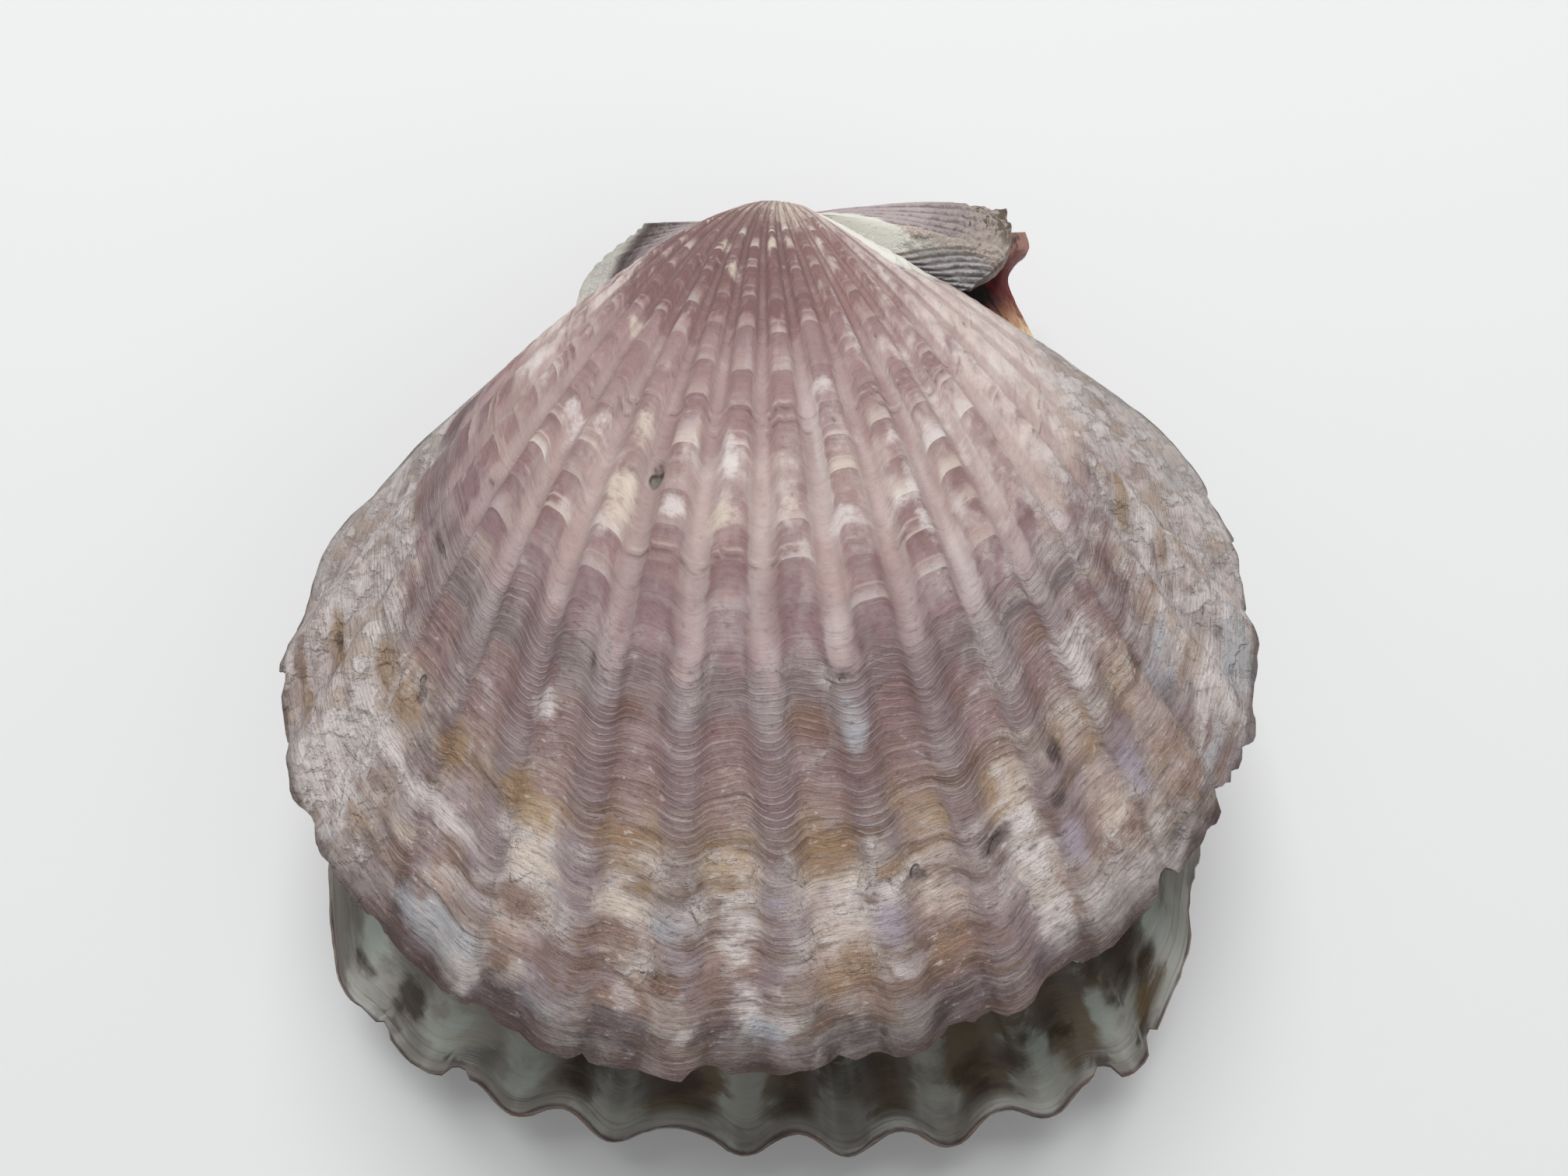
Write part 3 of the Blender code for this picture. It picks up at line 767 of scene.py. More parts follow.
@dataclass
class UpperValve(Valve):
    """The valve on top, whose outside faces up: its worn patches, scars and two ears."""

    arc_count: ClassVar[float] = 5.5

    def disc_end(self, stage: Array) -> Array:
        """Angle at which the disc meets the anterior ear."""
        return np.interp(stage, (0.05, 0.12, 0.29, 0.36, 0.5), (37.0, 39.5, 43.2, 51.0, 57.0))

    def notch_share(self, angle: Array, stage: Array) -> Array:
        """How far a point lies on the way from the porcelain, at 0, to the free edge of the notch, at 1."""
        turns = (40.5, 46.0, 55.0, 60.0, 66.0, 70.5, 72.5, 75.0)
        start = np.interp(angle, turns, (0.30, 0.34, 0.44, 0.55, 0.69, 0.82, 0.90, 1.0))
        end = np.interp(angle, turns, (0.40, 0.46, 0.62, 0.80, 0.99, 1.13, 1.27, 1.5))
        return (stage - start) / (end - start)

    def arcs(self, angle: Array, stage: Array) -> Array:
        """Growth arcs round the notch, from -1 to 1."""
        return np.cos(math.tau * self.arc_count * self.notch_share(angle, stage))

    def cord_start(self, stage: Array) -> Array:
        """Angle at which the cords of the anterior ear begin."""
        return np.interp(stage, (0.12, 0.33, 0.57, 0.68, 0.78, 1.0), (86.0, 79.0, 71.0, 70.5, 71.5, 74.0))

    def marks(self, angle: Array, stage: Array) -> dict[str, Array]:
        """Values of the markings of both ears, by name."""
        share = self.notch_share(angle, stage)
        beyond = smoothstep(0.0, 1.5, angle - self.disc_end(stage))
        ragged = 1.4 * uneven(Seed.EAR_EDGE, angle, stage) * smoothstep(0.5, 0.7, stage)
        below = fall(-0.8, 0.8, angle + ragged - self.cord_start(stage))
        turned = smoothstep(-0.12, 0.12, share)
        far = stage * self.law.radius(angle) / MM * np.sin(np.radians(np.abs(angle)))
        left = smoothstep(58.0, 61.0, -angle)
        past = far - 20.0 - 0.22 * (90.0 + angle) + 0.8 * uneven(Seed.EAR_BAND, angle, stage)
        ridge = hill((angle - self.cord_start(stage) + ragged) / 2.2) * smoothstep(0.52, 0.66, stage)
        return super().marks(angle, stage) | {
            "porcelain": beyond * below * (1.0 - turned),
            "fasciole": beyond * below * turned,
            "riblets": np.maximum(beyond * (1.0 - below), left),
            "band": left * hill(np.where(past < 0.0, past / 2.6, past / 1.5)),
            "bleached": left * smoothstep(0.0, 2.4, past),
            "notch": np.clip(share, -1.0, 2.0),
            "ridge": beyond * ridge,
        }

    def own_texture(self, angle: Array, stage: Array) -> Array:
        """Height of the ears' cords, arcs, crease and crust, in millimetres."""
        marks, relief = self.marks(angle, stage), self.relief
        height = relief.ear_cord * self.cords(angle, stage) * marks["riblets"]
        height += relief.ear_arc * self.arcs(angle, stage) * marks["fasciole"]
        crease = hill((angle - self.disc_end(stage)) / 1.8) * fall(0.42, 0.5, stage)
        crust = smoothstep(0.7, 0.95, stage) * np.maximum(marks["riblets"], marks["fasciole"])
        crust = relief.ear_crust * (crust * smoothstep(0.0, 60.0, angle)) * uneven(Seed.CRUST, angle, stage)
        height += crust - relief.ear_crease * crease * smoothstep(0.06, 0.15, stage)
        ridge = hill((angle - self.cord_start(stage)) / 1.8) * smoothstep(0.55, 0.7, stage)
        return height + relief.ear_ridge * ridge * (1.0 + 0.8 * uneven(Seed.RIDGE, angle, stage))

    def paleness(self, angle: Array, stage: Array) -> Array:
        """How pale the outside is, from 0 to 1: partly real bleaching, partly painted light on both flanks."""
        steps = ((0.22, 10.0, 22.0), (0.40, 24.0, 34.0), (0.38, 34.0, 42.0))
        right = sum(share * smoothstep(start, end, angle) for share, start, end in steps)
        spared = 0.18 * window(0.67, 0.87, 0.05, stage) * fall(34.0, 46.0, angle)
        right = right * smoothstep(0.03, 0.14, stage) * (1.0 - spared)
        eras = 0.6 * window(0.3, 0.50, 0.08, stage) + 0.95 * smoothstep(0.68, 0.76, stage)
        left = smoothstep(30.0, 38.0, -angle) * eras
        lower_left = 0.7 * smoothstep(20.0, 28.0, -angle) * smoothstep(0.74, 0.82, stage)
        middle = 0.22 * window(0.47, 0.56, 0.04, stage) * window(-20.0, 30.0, 6.0, angle)
        old = 0.30 * window(0.83, 0.91, 0.02, stage)
        return np.maximum.reduce((right, left, lower_left, middle, old))


@dataclass
class LowerValve(Valve):
    """The valve that the shell lies on, whose inside faces up."""

    def marks(self, angle: Array, stage: Array) -> dict[str, Array]:
        """Values of the ribbed ears and of the hollow below the notch, painted in deep shadow, by name."""
        return super().marks(angle, stage) | {"burnt": smoothstep(46.0, 54.0, angle)}


class Signal:
    """A value or a colour on its way through a node tree, reckoned with like a number."""

    def __init__(self, bench: "Bench", socket: bpy.types.NodeSocket) -> None:
        """Wrap an output of a node on the bench."""
        self.bench, self.socket = bench, socket

    def __add__(self, other: object) -> "Signal":
        """The sum."""
        return self.bench.math("ADD", self, other)

    def __sub__(self, other: object) -> "Signal":
        """The difference."""
        return self.bench.math("SUBTRACT", self, other)

    def __rsub__(self, other: object) -> "Signal":
        """What is left of another value."""
        return self.bench.math("SUBTRACT", other, self)

    def __mul__(self, other: object) -> "Signal":
        """The product."""
        return self.bench.math("MULTIPLY", self, other)

    def __truediv__(self, other: object) -> "Signal":
        """The quotient."""
        return self.bench.math("DIVIDE", self, other)

    def __pow__(self, power: float) -> "Signal":
        """The power."""
        return self.bench.math("POWER", self, power)

    def span(self, low: object, high: object, start: float = 0.0, end: float = 1.0) -> "Signal":
        """The value mapped softly from low..high to start..end, and held there outside."""
        inputs = {"From_Min": low, "From_Max": high, "To_Min": start, "To_Max": end}
        return self.bench.add("ShaderNodeMapRange", {"interpolation_type": "SMOOTHSTEP"}, Value=self, **inputs)[0]

    def blend(self, mask: object, paint: object) -> "Signal":
        """This colour, with a paint over it where the mask is 1."""
        return self.bench.mix(mask, self, paint)


Coat = tuple[Signal, Signal | Colour]


class Placed:
    """A node on a bench, read by the names or the numbers of its outputs."""

    def __init__(self, bench: "Bench", node: bpy.types.Node) -> None:
        """Wrap a node on the bench."""
        self.bench, self.node = bench, node

    def __getitem__(self, output: str | int) -> Signal:
        """One output of the node."""
        return Signal(self.bench, self.node.outputs[output])


class Bench:
    """Places nodes in one tree and joins them."""

    def __init__(self, tree: bpy.types.NodeTree) -> None:
        """Work on a tree."""
        self.tree = tree

    def set(self, socket: bpy.types.NodeSocket, value: object) -> None:
        """Join an input to a signal, or give it a plain value."""
        if isinstance(value, Signal):
            self.tree.links.new(value.socket, socket)
        elif isinstance(value, tuple) and socket.type == "RGBA":
            socket.default_value = (*value, 1.0)
        else:
            socket.default_value = value

    def add(self, kind: str, settings: dict[str, object] | None = None, **inputs: object) -> Placed:
        """Add a node; an input's name is written with underscores for spaces."""
        node = self.tree.nodes.new(kind)
        for name, value in (settings or {}).items():
            setattr(node, name, value)
        for name, value in inputs.items():
            self.set(node.inputs[name.replace("_", " ")], value)
        return Placed(self, node)

    def math(self, operation: str, *values: object) -> Signal:
        """The result of a Math node."""
        placed = self.add("ShaderNodeMath", {"operation": operation})
        for socket, value in zip(placed.node.inputs, values):
            self.set(socket, value)
        return placed[0]

    def mix(self, factor: object, first: object, second: object) -> Signal:
        """A colour between two colours."""
        placed = self.add("ShaderNodeMix", {"data_type": "RGBA"})
        for index, value in ((0, factor), (6, first), (7, second)):
            self.set(placed.node.inputs[index], value)
        return placed[2]

    def coat(self, colour: Signal, coats: Iterable[Coat]) -> Signal:
        """A colour with coats laid over it, each a mask and a paint, the last one on top."""
        for mask, paint in coats:
            colour = colour.blend(mask, paint)
        return colour

    def value(self, name: str) -> Signal:
        """A value kept on the points of the mesh."""
        return self.add("ShaderNodeAttribute", {"attribute_name": name})["Fac"]

    def vector(self, x: object, y: object, z: object = 0.0) -> Signal:
        """A vector from three values."""
        return self.add("ShaderNodeCombineXYZ", None, X=x, Y=y, Z=z)[0]

    def noise(self, place: Signal, scale: float = 1.0, detail: float = 3.0, rough: float = 0.55) -> Signal:
        """Noise from 0 to 1."""
        return self.add("ShaderNodeTexNoise", None, Vector=place, Scale=scale, Detail=detail, Roughness=rough)["Fac"]

    def noises(self, place: Signal, scale: object, rough: float) -> Placed:
        """Three independent noises from 0 to 1."""
        noise = self.add("ShaderNodeTexNoise", None, Vector=place, Scale=scale, Detail=5.0, Roughness=rough)
        return self.add("ShaderNodeSeparateColor", None, Color=noise["Color"])

    def place(self) -> Signal:
        """The place in the piece's own coordinates."""
        return self.add("ShaderNodeTexCoord")["Object"]

    def group(self, tree: bpy.types.NodeTree, **inputs: object) -> Placed:
        """Place a shared effect with its own values."""
        return self.add("ShaderNodeGroup", {"node_tree": tree}, **inputs)


class MaterialBench(Bench):
    """The bench of one material, whose tree ends in a Principled shader."""

    def __init__(self, name: str) -> None:
        """Start a material."""
        self.material = bpy.data.materials.new(name)
        self.material.use_nodes = True
        super().__init__(self.material.node_tree)

    def dress(self, colour: Signal, roughness: object, specular: float = DULL_SPECULAR) -> bpy.types.Material:
        """Feed the shader's colour and gloss, and hand over the material."""
        shader = self.tree.nodes["Principled BSDF"]
        for name, value in (("Base Color", colour), ("Roughness", roughness), ("Specular IOR Level", specular)):
            self.set(shader.inputs[name], value)
        return self.material

    def emboss(self, height: Signal, strength: float, distance: float) -> None:
        """Let a height show as relief, of so much strength and so many millimetres."""
        bump = self.add("ShaderNodeBump", None, Strength=strength, Distance=distance * MM, Height=height)
        self.set(self.tree.nodes["Principled BSDF"].inputs["Normal"], bump[0])


class GroupBench(Bench):
    """The bench of one shared effect."""

    def __init__(self, name: str, outputs: Iterable[str], **inputs: float) -> None:
        """Start a shared effect with number sockets; an input's name is written with underscores for spaces."""
        super().__init__(bpy.data.node_groups.new(name, "ShaderNodeTree"))
        for label, value in inputs.items():
            label = label.replace("_", " ")
            socket = self.tree.interface.new_socket(label, in_out="INPUT", socket_type="NodeSocketFloat")
            socket.default_value = value
        for label in outputs:
            self.tree.interface.new_socket(label, in_out="OUTPUT", socket_type="NodeSocketFloat")
        self.given = self.add("NodeGroupInput")

    def close(self, **outputs: Signal) -> bpy.types.NodeTree:
        """Feed the outputs, and hand over the group."""
        self.add("NodeGroupOutput", None, **outputs)
        return self.tree


class SharedEffects:
    """The effects that several finishes use, each made once, when it is first asked for."""

    @cached_property
    def lines(self) -> bpy.types.NodeTree:
        """Height of fine lines parallel to the margin, which wander and fade in and out."""
        bench = GroupBench("growth lines", ("Height",), Fan=0.0, Growth=0.0, Lines=150.0, Wander=1.0)
        fan, growth = bench.given["Fan"], bench.given["Growth"]
        drift = (bench.noise(bench.vector(fan * 0.9, growth * 14.0)) - 0.5) * bench.given["Wander"]
        along = growth * bench.given["Lines"] + drift
        return bench.close(Height=bench.noise(bench.vector(fan * 0.35, along), 1.0, 4.0, 0.7))

    @cached_property
    def hoods(self) -> bpy.types.NodeTree:
        """Pale hoods over the ribs, one for each pause in growth, with the deeper colour that follows each."""
        bench = GroupBench("hoods", ("Pale", "Bloom", "Rise"), Fan=0.0, Pause=0.0)
        pause = bench.given["Pause"]
        since = bench.math("FRACT", pause)
        cell = bench.vector(bench.math("FLOOR", bench.given["Fan"]), bench.math("FLOOR", pause), 0.5)
        chance = bench.add("ShaderNodeTexWhiteNoise", None, Vector=cell)["Value"]
        strength = chance.span(0.25, 0.9)
        start = bench.math("FRACT", chance * 7.0).span(0.3, 1.0, 0.8, 0.3)
        double = since.span(0.60, 0.66) * since.span(0.72, 0.67)
        pale = bench.math("MAXIMUM", since.span(start, 0.98), double * 0.6)
        bloom = (1.0 - since) ** 1.6 * chance.span(0.0, 0.8, 0.25, 0.95)
        return bench.close(Pale=pale * strength, Bloom=bloom, Rise=since**3.0 * strength)

    @cached_property
    def ledges(self) -> bpy.types.NodeTree:
        """The free edges of scaly layers: a painted highlight on each edge, the thin painted shade below it, and the
        layer's rise.
        """
        bench = GroupBench("ledges", ("Highlight", "Shade", "Rise"), Fan=0.0, Layer=0.0)
        layer = bench.given["Layer"]
        jagged = bench.noise(bench.vector(bench.given["Fan"] * 2.2, layer * 0.9), 1.0, 5.0, 0.65) - 0.5
        since = bench.math("FRACT", layer + jagged * 0.9)
        return bench.close(Highlight=since.span(0.70, 0.96), Shade=since.span(0.22, 0.0), Rise=since)

    @cached_property
    def wander(self) -> bpy.types.NodeTree:
        """Rib and growth coordinates drawn a little aside, so that patches end raggedly."""
        inputs = {"Fan": 0.0, "Growth": 0.0, "Aside": 0.6, "Ahead": 0.035}
        bench = GroupBench("wander", ("Fan", "Growth", "Ragged"), **inputs)
        fan, growth = bench.given["Fan"], bench.given["Growth"]
        noises = bench.noises(bench.vector(fan * 2.4, growth * 44.0), 1.0, 0.62)
        aside = fan + (noises[0] - 0.5) * bench.given["Aside"]
        ahead = growth + (noises[1] - 0.5) * bench.given["Ahead"]
        return bench.close(Fan=aside, Growth=ahead, Ragged=noises[2] - 0.5)

    @cached_property
    def patches(self) -> bpy.types.NodeTree:
        """Patches in rib and growth coordinates: so many across a rib, and so many along the shell."""
        inputs = {"Fan": 0.0, "Growth": 0.0, "Across": 1.0, "Along": 10.0, "Seed": 0.0, "Low": 0.4, "High": 0.6}
        bench = GroupBench("patches", ("Mask",), **inputs)
        given = bench.given
        place = bench.vector(given["Fan"] * given["Across"], given["Growth"] * given["Along"], given["Seed"])
        return bench.close(Mask=bench.noise(place, 1.0, 2.5).span(given["Low"], given["High"]))

    @cached_property
    def mottle(self) -> bpy.types.NodeTree:
        """Three sets of soft patches over the whole piece."""
        names = ("First", "Second", "Third")
        bench = GroupBench("mottle", names, Scale=60.0, Low=0.4, High=0.6)
        noises = bench.noises(bench.place(), bench.given["Scale"], 0.6)
        masks = (noises[part].span(bench.given["Low"], bench.given["High"]) for part in range(3))
        return bench.close(**dict(zip(names, masks)))

    @cached_property
    def spot(self) -> bpy.types.NodeTree:
        """One crisp round spot in rib and growth coordinates, and a crescent of painted shadow on the beak side of
        its edge.
        """
        inputs = {"Fan": 0.0, "Growth": 0.0, "At_Fan": 0.0, "At_Growth": 0.5, "Half_Fan": 0.1, "Half_Growth": 0.01}
        bench = GroupBench("spot", ("Mask", "Shadow"), **inputs)
        given = bench.given
        aside, ahead = ((given[name] - given[f"At {name}"]) / given[f"Half {name}"] for name in ("Fan", "Growth"))
        reach = bench.add("ShaderNodeVectorMath", {"operation": "LENGTH"}, Vector=bench.vector(aside, ahead))["Value"]
        ring = reach.span(0.5, 0.9) * reach.span(1.25, 1.0)
        return bench.close(Mask=reach.span(1.05, 0.85), Shadow=ring * (ahead + aside * 0.5).span(0.5, -0.5))


class Fields(NamedTuple):
    """Places and patterns over the outside that its coats of colour share."""

    angle: Signal
    flank: Signal
    growth: Signal
    stage: Signal
    fan: Signal
    rib: Signal
    ragged: Signal
    broad: Signal
    arcs: Signal
    streaks: Signal
    flakes: Signal
    lines: Signal
    on_rib: Signal
    on_disc: Signal
    pale: Signal


@dataclass(frozen=True)
class OuterFinish:
    """The weathered outside of a valve: bands of colour along growth, on the ribs and in the furrows between them."""

    name: str
    crest_bands: Bands = (
        (0.0, tone(204, 186, 172)), (0.09, tone(182, 158, 146)), (0.13, tone(138, 107, 100)),
        (0.18, tone(117, 85, 81)), (0.23, tone(119, 85, 84)), (0.33, tone(154, 125, 124)),
        (0.47, tone(160, 134, 130)), (0.56, tone(144, 115, 114)), (0.61, tone(134, 108, 110)),
        (0.665, tone(116, 99, 99)), (0.715, tone(126, 98, 94)), (0.735, tone(136, 111, 109)),
        (0.775, tone(146, 121, 112)), (0.8, tone(164, 139, 112)), (0.825, tone(176, 152, 124)),
        (0.845, tone(194, 179, 170)), (0.885, tone(172, 150, 138)), (0.915, tone(140, 114, 100)),
        (0.942, tone(112, 102, 97)), (0.958, tone(48, 42, 40)),
    )
    furrow_bands: Bands = (
        (0.0, tone(140, 114, 110)), (0.12, tone(126, 97, 95)), (0.26, tone(132, 102, 100)),
        (0.34, tone(164, 138, 135)), (0.48, tone(172, 148, 143)), (0.6, tone(162, 140, 138)),
        (0.67, tone(136, 122, 124)), (0.72, tone(126, 109, 110)), (0.79, tone(130, 115, 108)),
        (0.835, tone(150, 138, 138)), (0.9, tone(140, 123, 115)), (0.945, tone(128, 122, 118)),
        (0.97, tone(92, 84, 81)),
    )
    rib_deep: Colour = tone(112, 82, 82)
    groove: Colour = tone(104, 78, 76)
    # Painted shade in the gaps between the ears' cords.
    cord_gap: Colour = tone(138, 120, 122)
    mauve: Colour = tone(180, 167, 168)
    nacre: Colour = tone(192, 187, 186)
    arc_line: Colour = tone(98, 88, 90)
    brown: Colour = tone(96, 70, 50)
    ash: Colour = tone(176, 166, 162)
    bleached: Colour = tone(204, 188, 181)
    dusk: Colour = tone(66, 52, 52)
    cream: Colour = tone(206, 191, 176)
    white: Colour = tone(214, 205, 201)
    ochre: Colour = tone(142, 112, 80)
    russet: Colour = tone(112, 82, 66)
    rosy: Colour = tone(166, 142, 138)
    blush: Colour = tone(172, 138, 132)
    lilac: Colour = tone(154, 142, 154)
    blue: Colour = tone(170, 172, 176)
    slate: Colour = tone(104, 92, 92)
    umber: Colour = tone(58, 42, 36)
    porcelain: Colour = tone(224, 222, 212)
    eggshell: Colour = tone(238, 235, 224)
    rust: Colour = tone(156, 110, 90)
    olive: Colour = tone(88, 76, 56)
    straw: Colour = tone(196, 180, 138)
    scarred: Colour = tone(98, 96, 86)
    scars: Rows = ()

    def build(self, shared: SharedEffects) -> bpy.types.Material:
        """Make the material."""
        bench = MaterialBench(self.name)
        at = self.fields(bench, shared)
        hoods = bench.group(shared.hoods, Fan=at.fan, Pause=bench.value("pause"))
        ledge = bench.group(shared.ledges, Fan=at.fan, Layer=bench.value("layer") * 3.4)
        scaly = bench.value("scaly")
        flank, torn = self.flank(bench, shared, at)
        furrows, crests = (self.banded(bench, at, bands) for bands in (self.furrow_bands, self.crest_bands))
        coats = (
            *self.washes(bench, shared, at),
            *self.hooded(bench, at, hoods),
            # The pale shoulders: partly real bleaching, partly painted light on both flanks.
            (at.pale, flank),
            *self.stains(bench, at),
            # Painted highlight on the free edges of the scaly layers, and painted shade below them.
            (ledge["Highlight"] * scaly * at.on_rib.span(0.0, 1.0, 0.75, 0.4), self.ash),
            (ledge["Shade"] * scaly * 0.6, self.dusk),
            *self.weathering_and_shade(bench, at),
            *self.margin(at),
            *self.scarring(bench, shared, at),
            *self.ears(bench, at),
        )
        rise = at.lines * at.growth.span(0.62, 0.70, 0.2, 1.0) + ledge["Rise"] * scaly
        rise = rise + hoods["Rise"] * at.on_rib * 0.5
        rise = rise + at.flakes * at.growth.span(0.6, 0.85, 0.6, 2.0) + torn * at.pale * 1.4
        bench.emboss(rise, 0.9, 0.35)
        colour = bench.coat(bench.mix(at.on_rib, furrows, crests), coats)
        return bench.dress(colour, at.flakes.span(0.3, 0.7, 0.70, 0.48))

    @staticmethod
    def fields(bench: Bench, shared: SharedEffects) -> Fields:
        """Lay out the places and patterns that the coats share."""
        angle, growth, fan, rib = (bench.value(name) for name in ("angle", "growth", "fan", "rib"))
        moved = bench.group(shared.wander, Fan=fan, Growth=growth)
        ragged = moved["Ragged"]
        broad, arcs, streaks = (
            bench.group(shared.patches, Fan=moved["Fan"], Growth=moved["Growth"], **pattern)[0]
            for pattern in (
                {"Across": 0.9, "Along": 11.0, "Seed": 1.0, "Low": 0.42, "High": 0.58},
                {"Across": 0.6, "Along": 42.0, "Seed": 2.0, "Low": 0.50, "High": 0.62},
                {"Across": 2.4, "Along": 15.0, "Seed": 3.0, "Low": 0.46, "High": 0.62},
            )
        )
        flank = bench.math("ABSOLUTE", angle)
        crest_edge = ragged * 2.2 + rib + growth.span(0.60, 0.70, -0.35, 0.0)
        pale = broad * -0.3 + (ragged * 1.8 + bench.value("pale") + 0.15)
        return Fields(
            angle=angle,
            flank=flank,
            growth=growth,
            stage=bench.value("stage"),
            fan=fan,
            rib=rib,
            ragged=ragged,
            broad=broad,
            arcs=arcs,
            streaks=streaks,
            flakes=bench.noise(bench.vector(fan * 7.0, growth * 190.0), 1.0, 4.0, 0.65),
            lines=bench.group(shared.lines, Fan=fan, Growth=growth, Lines=260.0, Wander=3.0)["Height"],
            on_rib=crest_edge.span(-0.75, 0.45),
            on_disc=flank.span(61.0, 56.0),
            pale=pale.span(0.1, 0.9, 0.0, 0.95),
        )

    @staticmethod
    def banded(bench: Bench, at: Fields, bands: Bands) -> Signal:
        """Bands of colour along growth, whose borders wander."""
        place = (at.broad - 0.5) * 0.014 + (at.ragged * 0.10 + at.growth)
        (_, colour), *later = bands
        for start, shade in later:
            colour = bench.mix(place.span(start - 0.012, start + 0.012), colour, shade)
        return colour

    def washes(self, bench: Bench, shared: SharedEffects, at: Fields) -> list[Coat]:
        """Thin uneven colours over the bands, and whitish streaks in the young furrows, mostly on the right side."""
        worn = at.streaks * at.growth.span(0.78, 0.86)
        blush = at.angle.span(4.0, 22.0) * at.growth.span(0.38, 0.30, 0.0, 0.6)
        pattern = {"Across": 1.1, "Along": 4.0, "Seed": 7.0, "Low": 0.44, "High": 0.60}
        veil = bench.group(shared.patches, Fan=at.fan, Growth=at.growth, **pattern)[0]
        veil = at.on_rib.span(0.7, 0.1) * at.angle.span(-14.0, 12.0, 0.12, 0.55) * veil
        return [
            (at.streaks * at.growth.span(0.3, 0.7, 0.12, 0.30), self.ash),
            (worn * 0.45, bench.mix(at.broad, self.white, self.lilac)),
            (at.broad * at.growth.span(0.4, 0.8, 0.22, 0.40), self.rib_deep),
            (at.arcs * at.growth.span(0.70, 0.82, 0.05, 0.62), self.brown),
            (blush * at.on_rib.span(0.0, 1.0, 1.0, 0.5), self.blush),
            (veil * at.growth.span(0.34, 0.46) * at.growth.span(0.70, 0.62), self.white),
        ]

    def hooded(self, bench: Bench, at: Fields, hoods: Placed) -> list[Coat]:
        """Pale hoods over the ribs of the young shell, each with a deeper colour after it."""
        young = at.on_rib * at.growth.span(0.69, 0.66)
        strong = at.growth.span(0.43, 0.50) * at.growth.span(0.63, 0.57)
        strong = bench.math("MAXIMUM", strong, at.growth.span(0.05, 0.09) * at.growth.span(0.25, 0.22))
        return [
            (hoods["Bloom"] * young * 0.5, self.rib_deep),
            (hoods["Pale"] * young * (strong * 0.55 + 0.35), bench.mix(at.streaks, self.cream, self.white)),
        ]

    def flank(self, bench: Bench, shared: SharedEffects, at: Fields) -> tuple[Signal, Signal]:
        """The bleached shoulders, clouded on the old shell, with painted shade along the edges of their torn flakes.

        Args:
            bench: The material's bench.
            shared: The shared effects.
            at: The outside's places and patterns.

        Returns:
            The colour of the shoulders, and the rise of their torn flakes.
        """
        clouds = bench.group(shared.mottle, Scale=110.0, Low=0.47, High=0.56)
        small = bench.group(shared.mottle, Scale=230.0, Low=0.46, High=0.58)
        old = at.growth.span(0.56, 0.70)
        flake = small["Third"]
        far = at.flank.span(42.0, 54.0) * at.growth.span(0.78, 0.90)
        coats = (
            (small["First"] * 0.30, self.rosy),
            ((at.ragged * 1.2 + at.rib).span(0.3, -0.5, 0.0, 0.45), self.rosy),
            (clouds["First"] * old * 0.85, self.ochre),
            (clouds["Second"] * old * 0.50, self.blue),
            (small["Second"] * at.growth.span(0.62, 0.76, 0.0, 0.9) * clouds["Third"], self.russet),
            (flake * old * 0.75, self.white),
            (far * 0.6, bench.mix(clouds["Second"], self.white, self.blue)),
            (old * 0.34, self.white),
            # Painted shade along the edges of the torn flakes.
            (flake * (1.0 - flake) * (old * 0.6 + 0.15), self.dusk),
        )
        colour = bench.coat(bench.mix(at.streaks * 0.6, self.bleached, self.white), coats)
        return colour, (flake + clouds["First"]) * old

    def stains(self, bench: Bench, at: Fields) -> Iterator[Coat]:
        """The single patches of this valve, with ragged edges."""
        for tint in Tint:
            mask = bench.value(tint.value)
            cover = (at.flakes - 0.5) * 0.8 + (at.ragged * 2.2 + mask)
            yield cover.span(0.15, 0.95) * mask.span(0.0, 0.6) * 0.78, getattr(self, tint.value)

    def weathering_and_shade(self, bench: Bench, at: Fields) -> list[Coat]:
        """Painted shade by the young ribs and in crevices, painted shadow under halts, growth lines, flecks and
        painted glints.
        """
        # Painted shade in the grooves beside the young ribs.
        side = at.rib.span(0.15, -0.30) * at.rib.span(-0.95, -0.50, 0.35, 1.0) * at.on_disc
        side = side * at.growth.span(0.44, 0.26, 0.12, 0.6) * at.growth.span(0.66, 0.60)
        crevice = bench.value("crevice")
        halt = bench.value("halt") * (at.broad * 0.8 + 0.2)
        aged = at.growth.span(0.60, 0.70)
        kept = at.ragged.span(-0.12, 0.10, 0.35, 1.0) * (at.pale * -0.8 + 1.0)
        # White flecks on the old crests: partly real flakes, partly painted glints.
        flecks_and_glints = at.flakes.span(0.58, 0.70) * at.on_rib * at.growth.span(0.70, 0.78) * at.on_disc
        return [
            (side, self.groove),
            # Paler on the raised bits of the fine relief; painted shade in its hollows.
            (crevice.span(0.1, 1.0, 0.0, 0.35), self.ash),
            (crevice.span(-0.1, -1.0, 0.0, 0.6), self.dusk),
            # A pale line on the beak side of each halt, and painted shadow on its other side.
            (halt.span(0.2, 0.9, 0.0, 0.35), self.cream),
            (halt.span(-0.2, -0.9, 0.0, 0.45), self.dusk),
            (at.lines.span(0.50, 0.68) * (aged * 0.42 + 0.16) * kept, self.dusk),
            (at.lines.span(0.46, 0.30) * (aged * 0.34 + 0.16), self.ash),
            (flecks_and_glints * 0.5, self.white),
            (at.flakes.span(0.46, 0.28) * at.growth.span(0.58, 0.70, 0.15, 0.5), self.dusk),
        ]

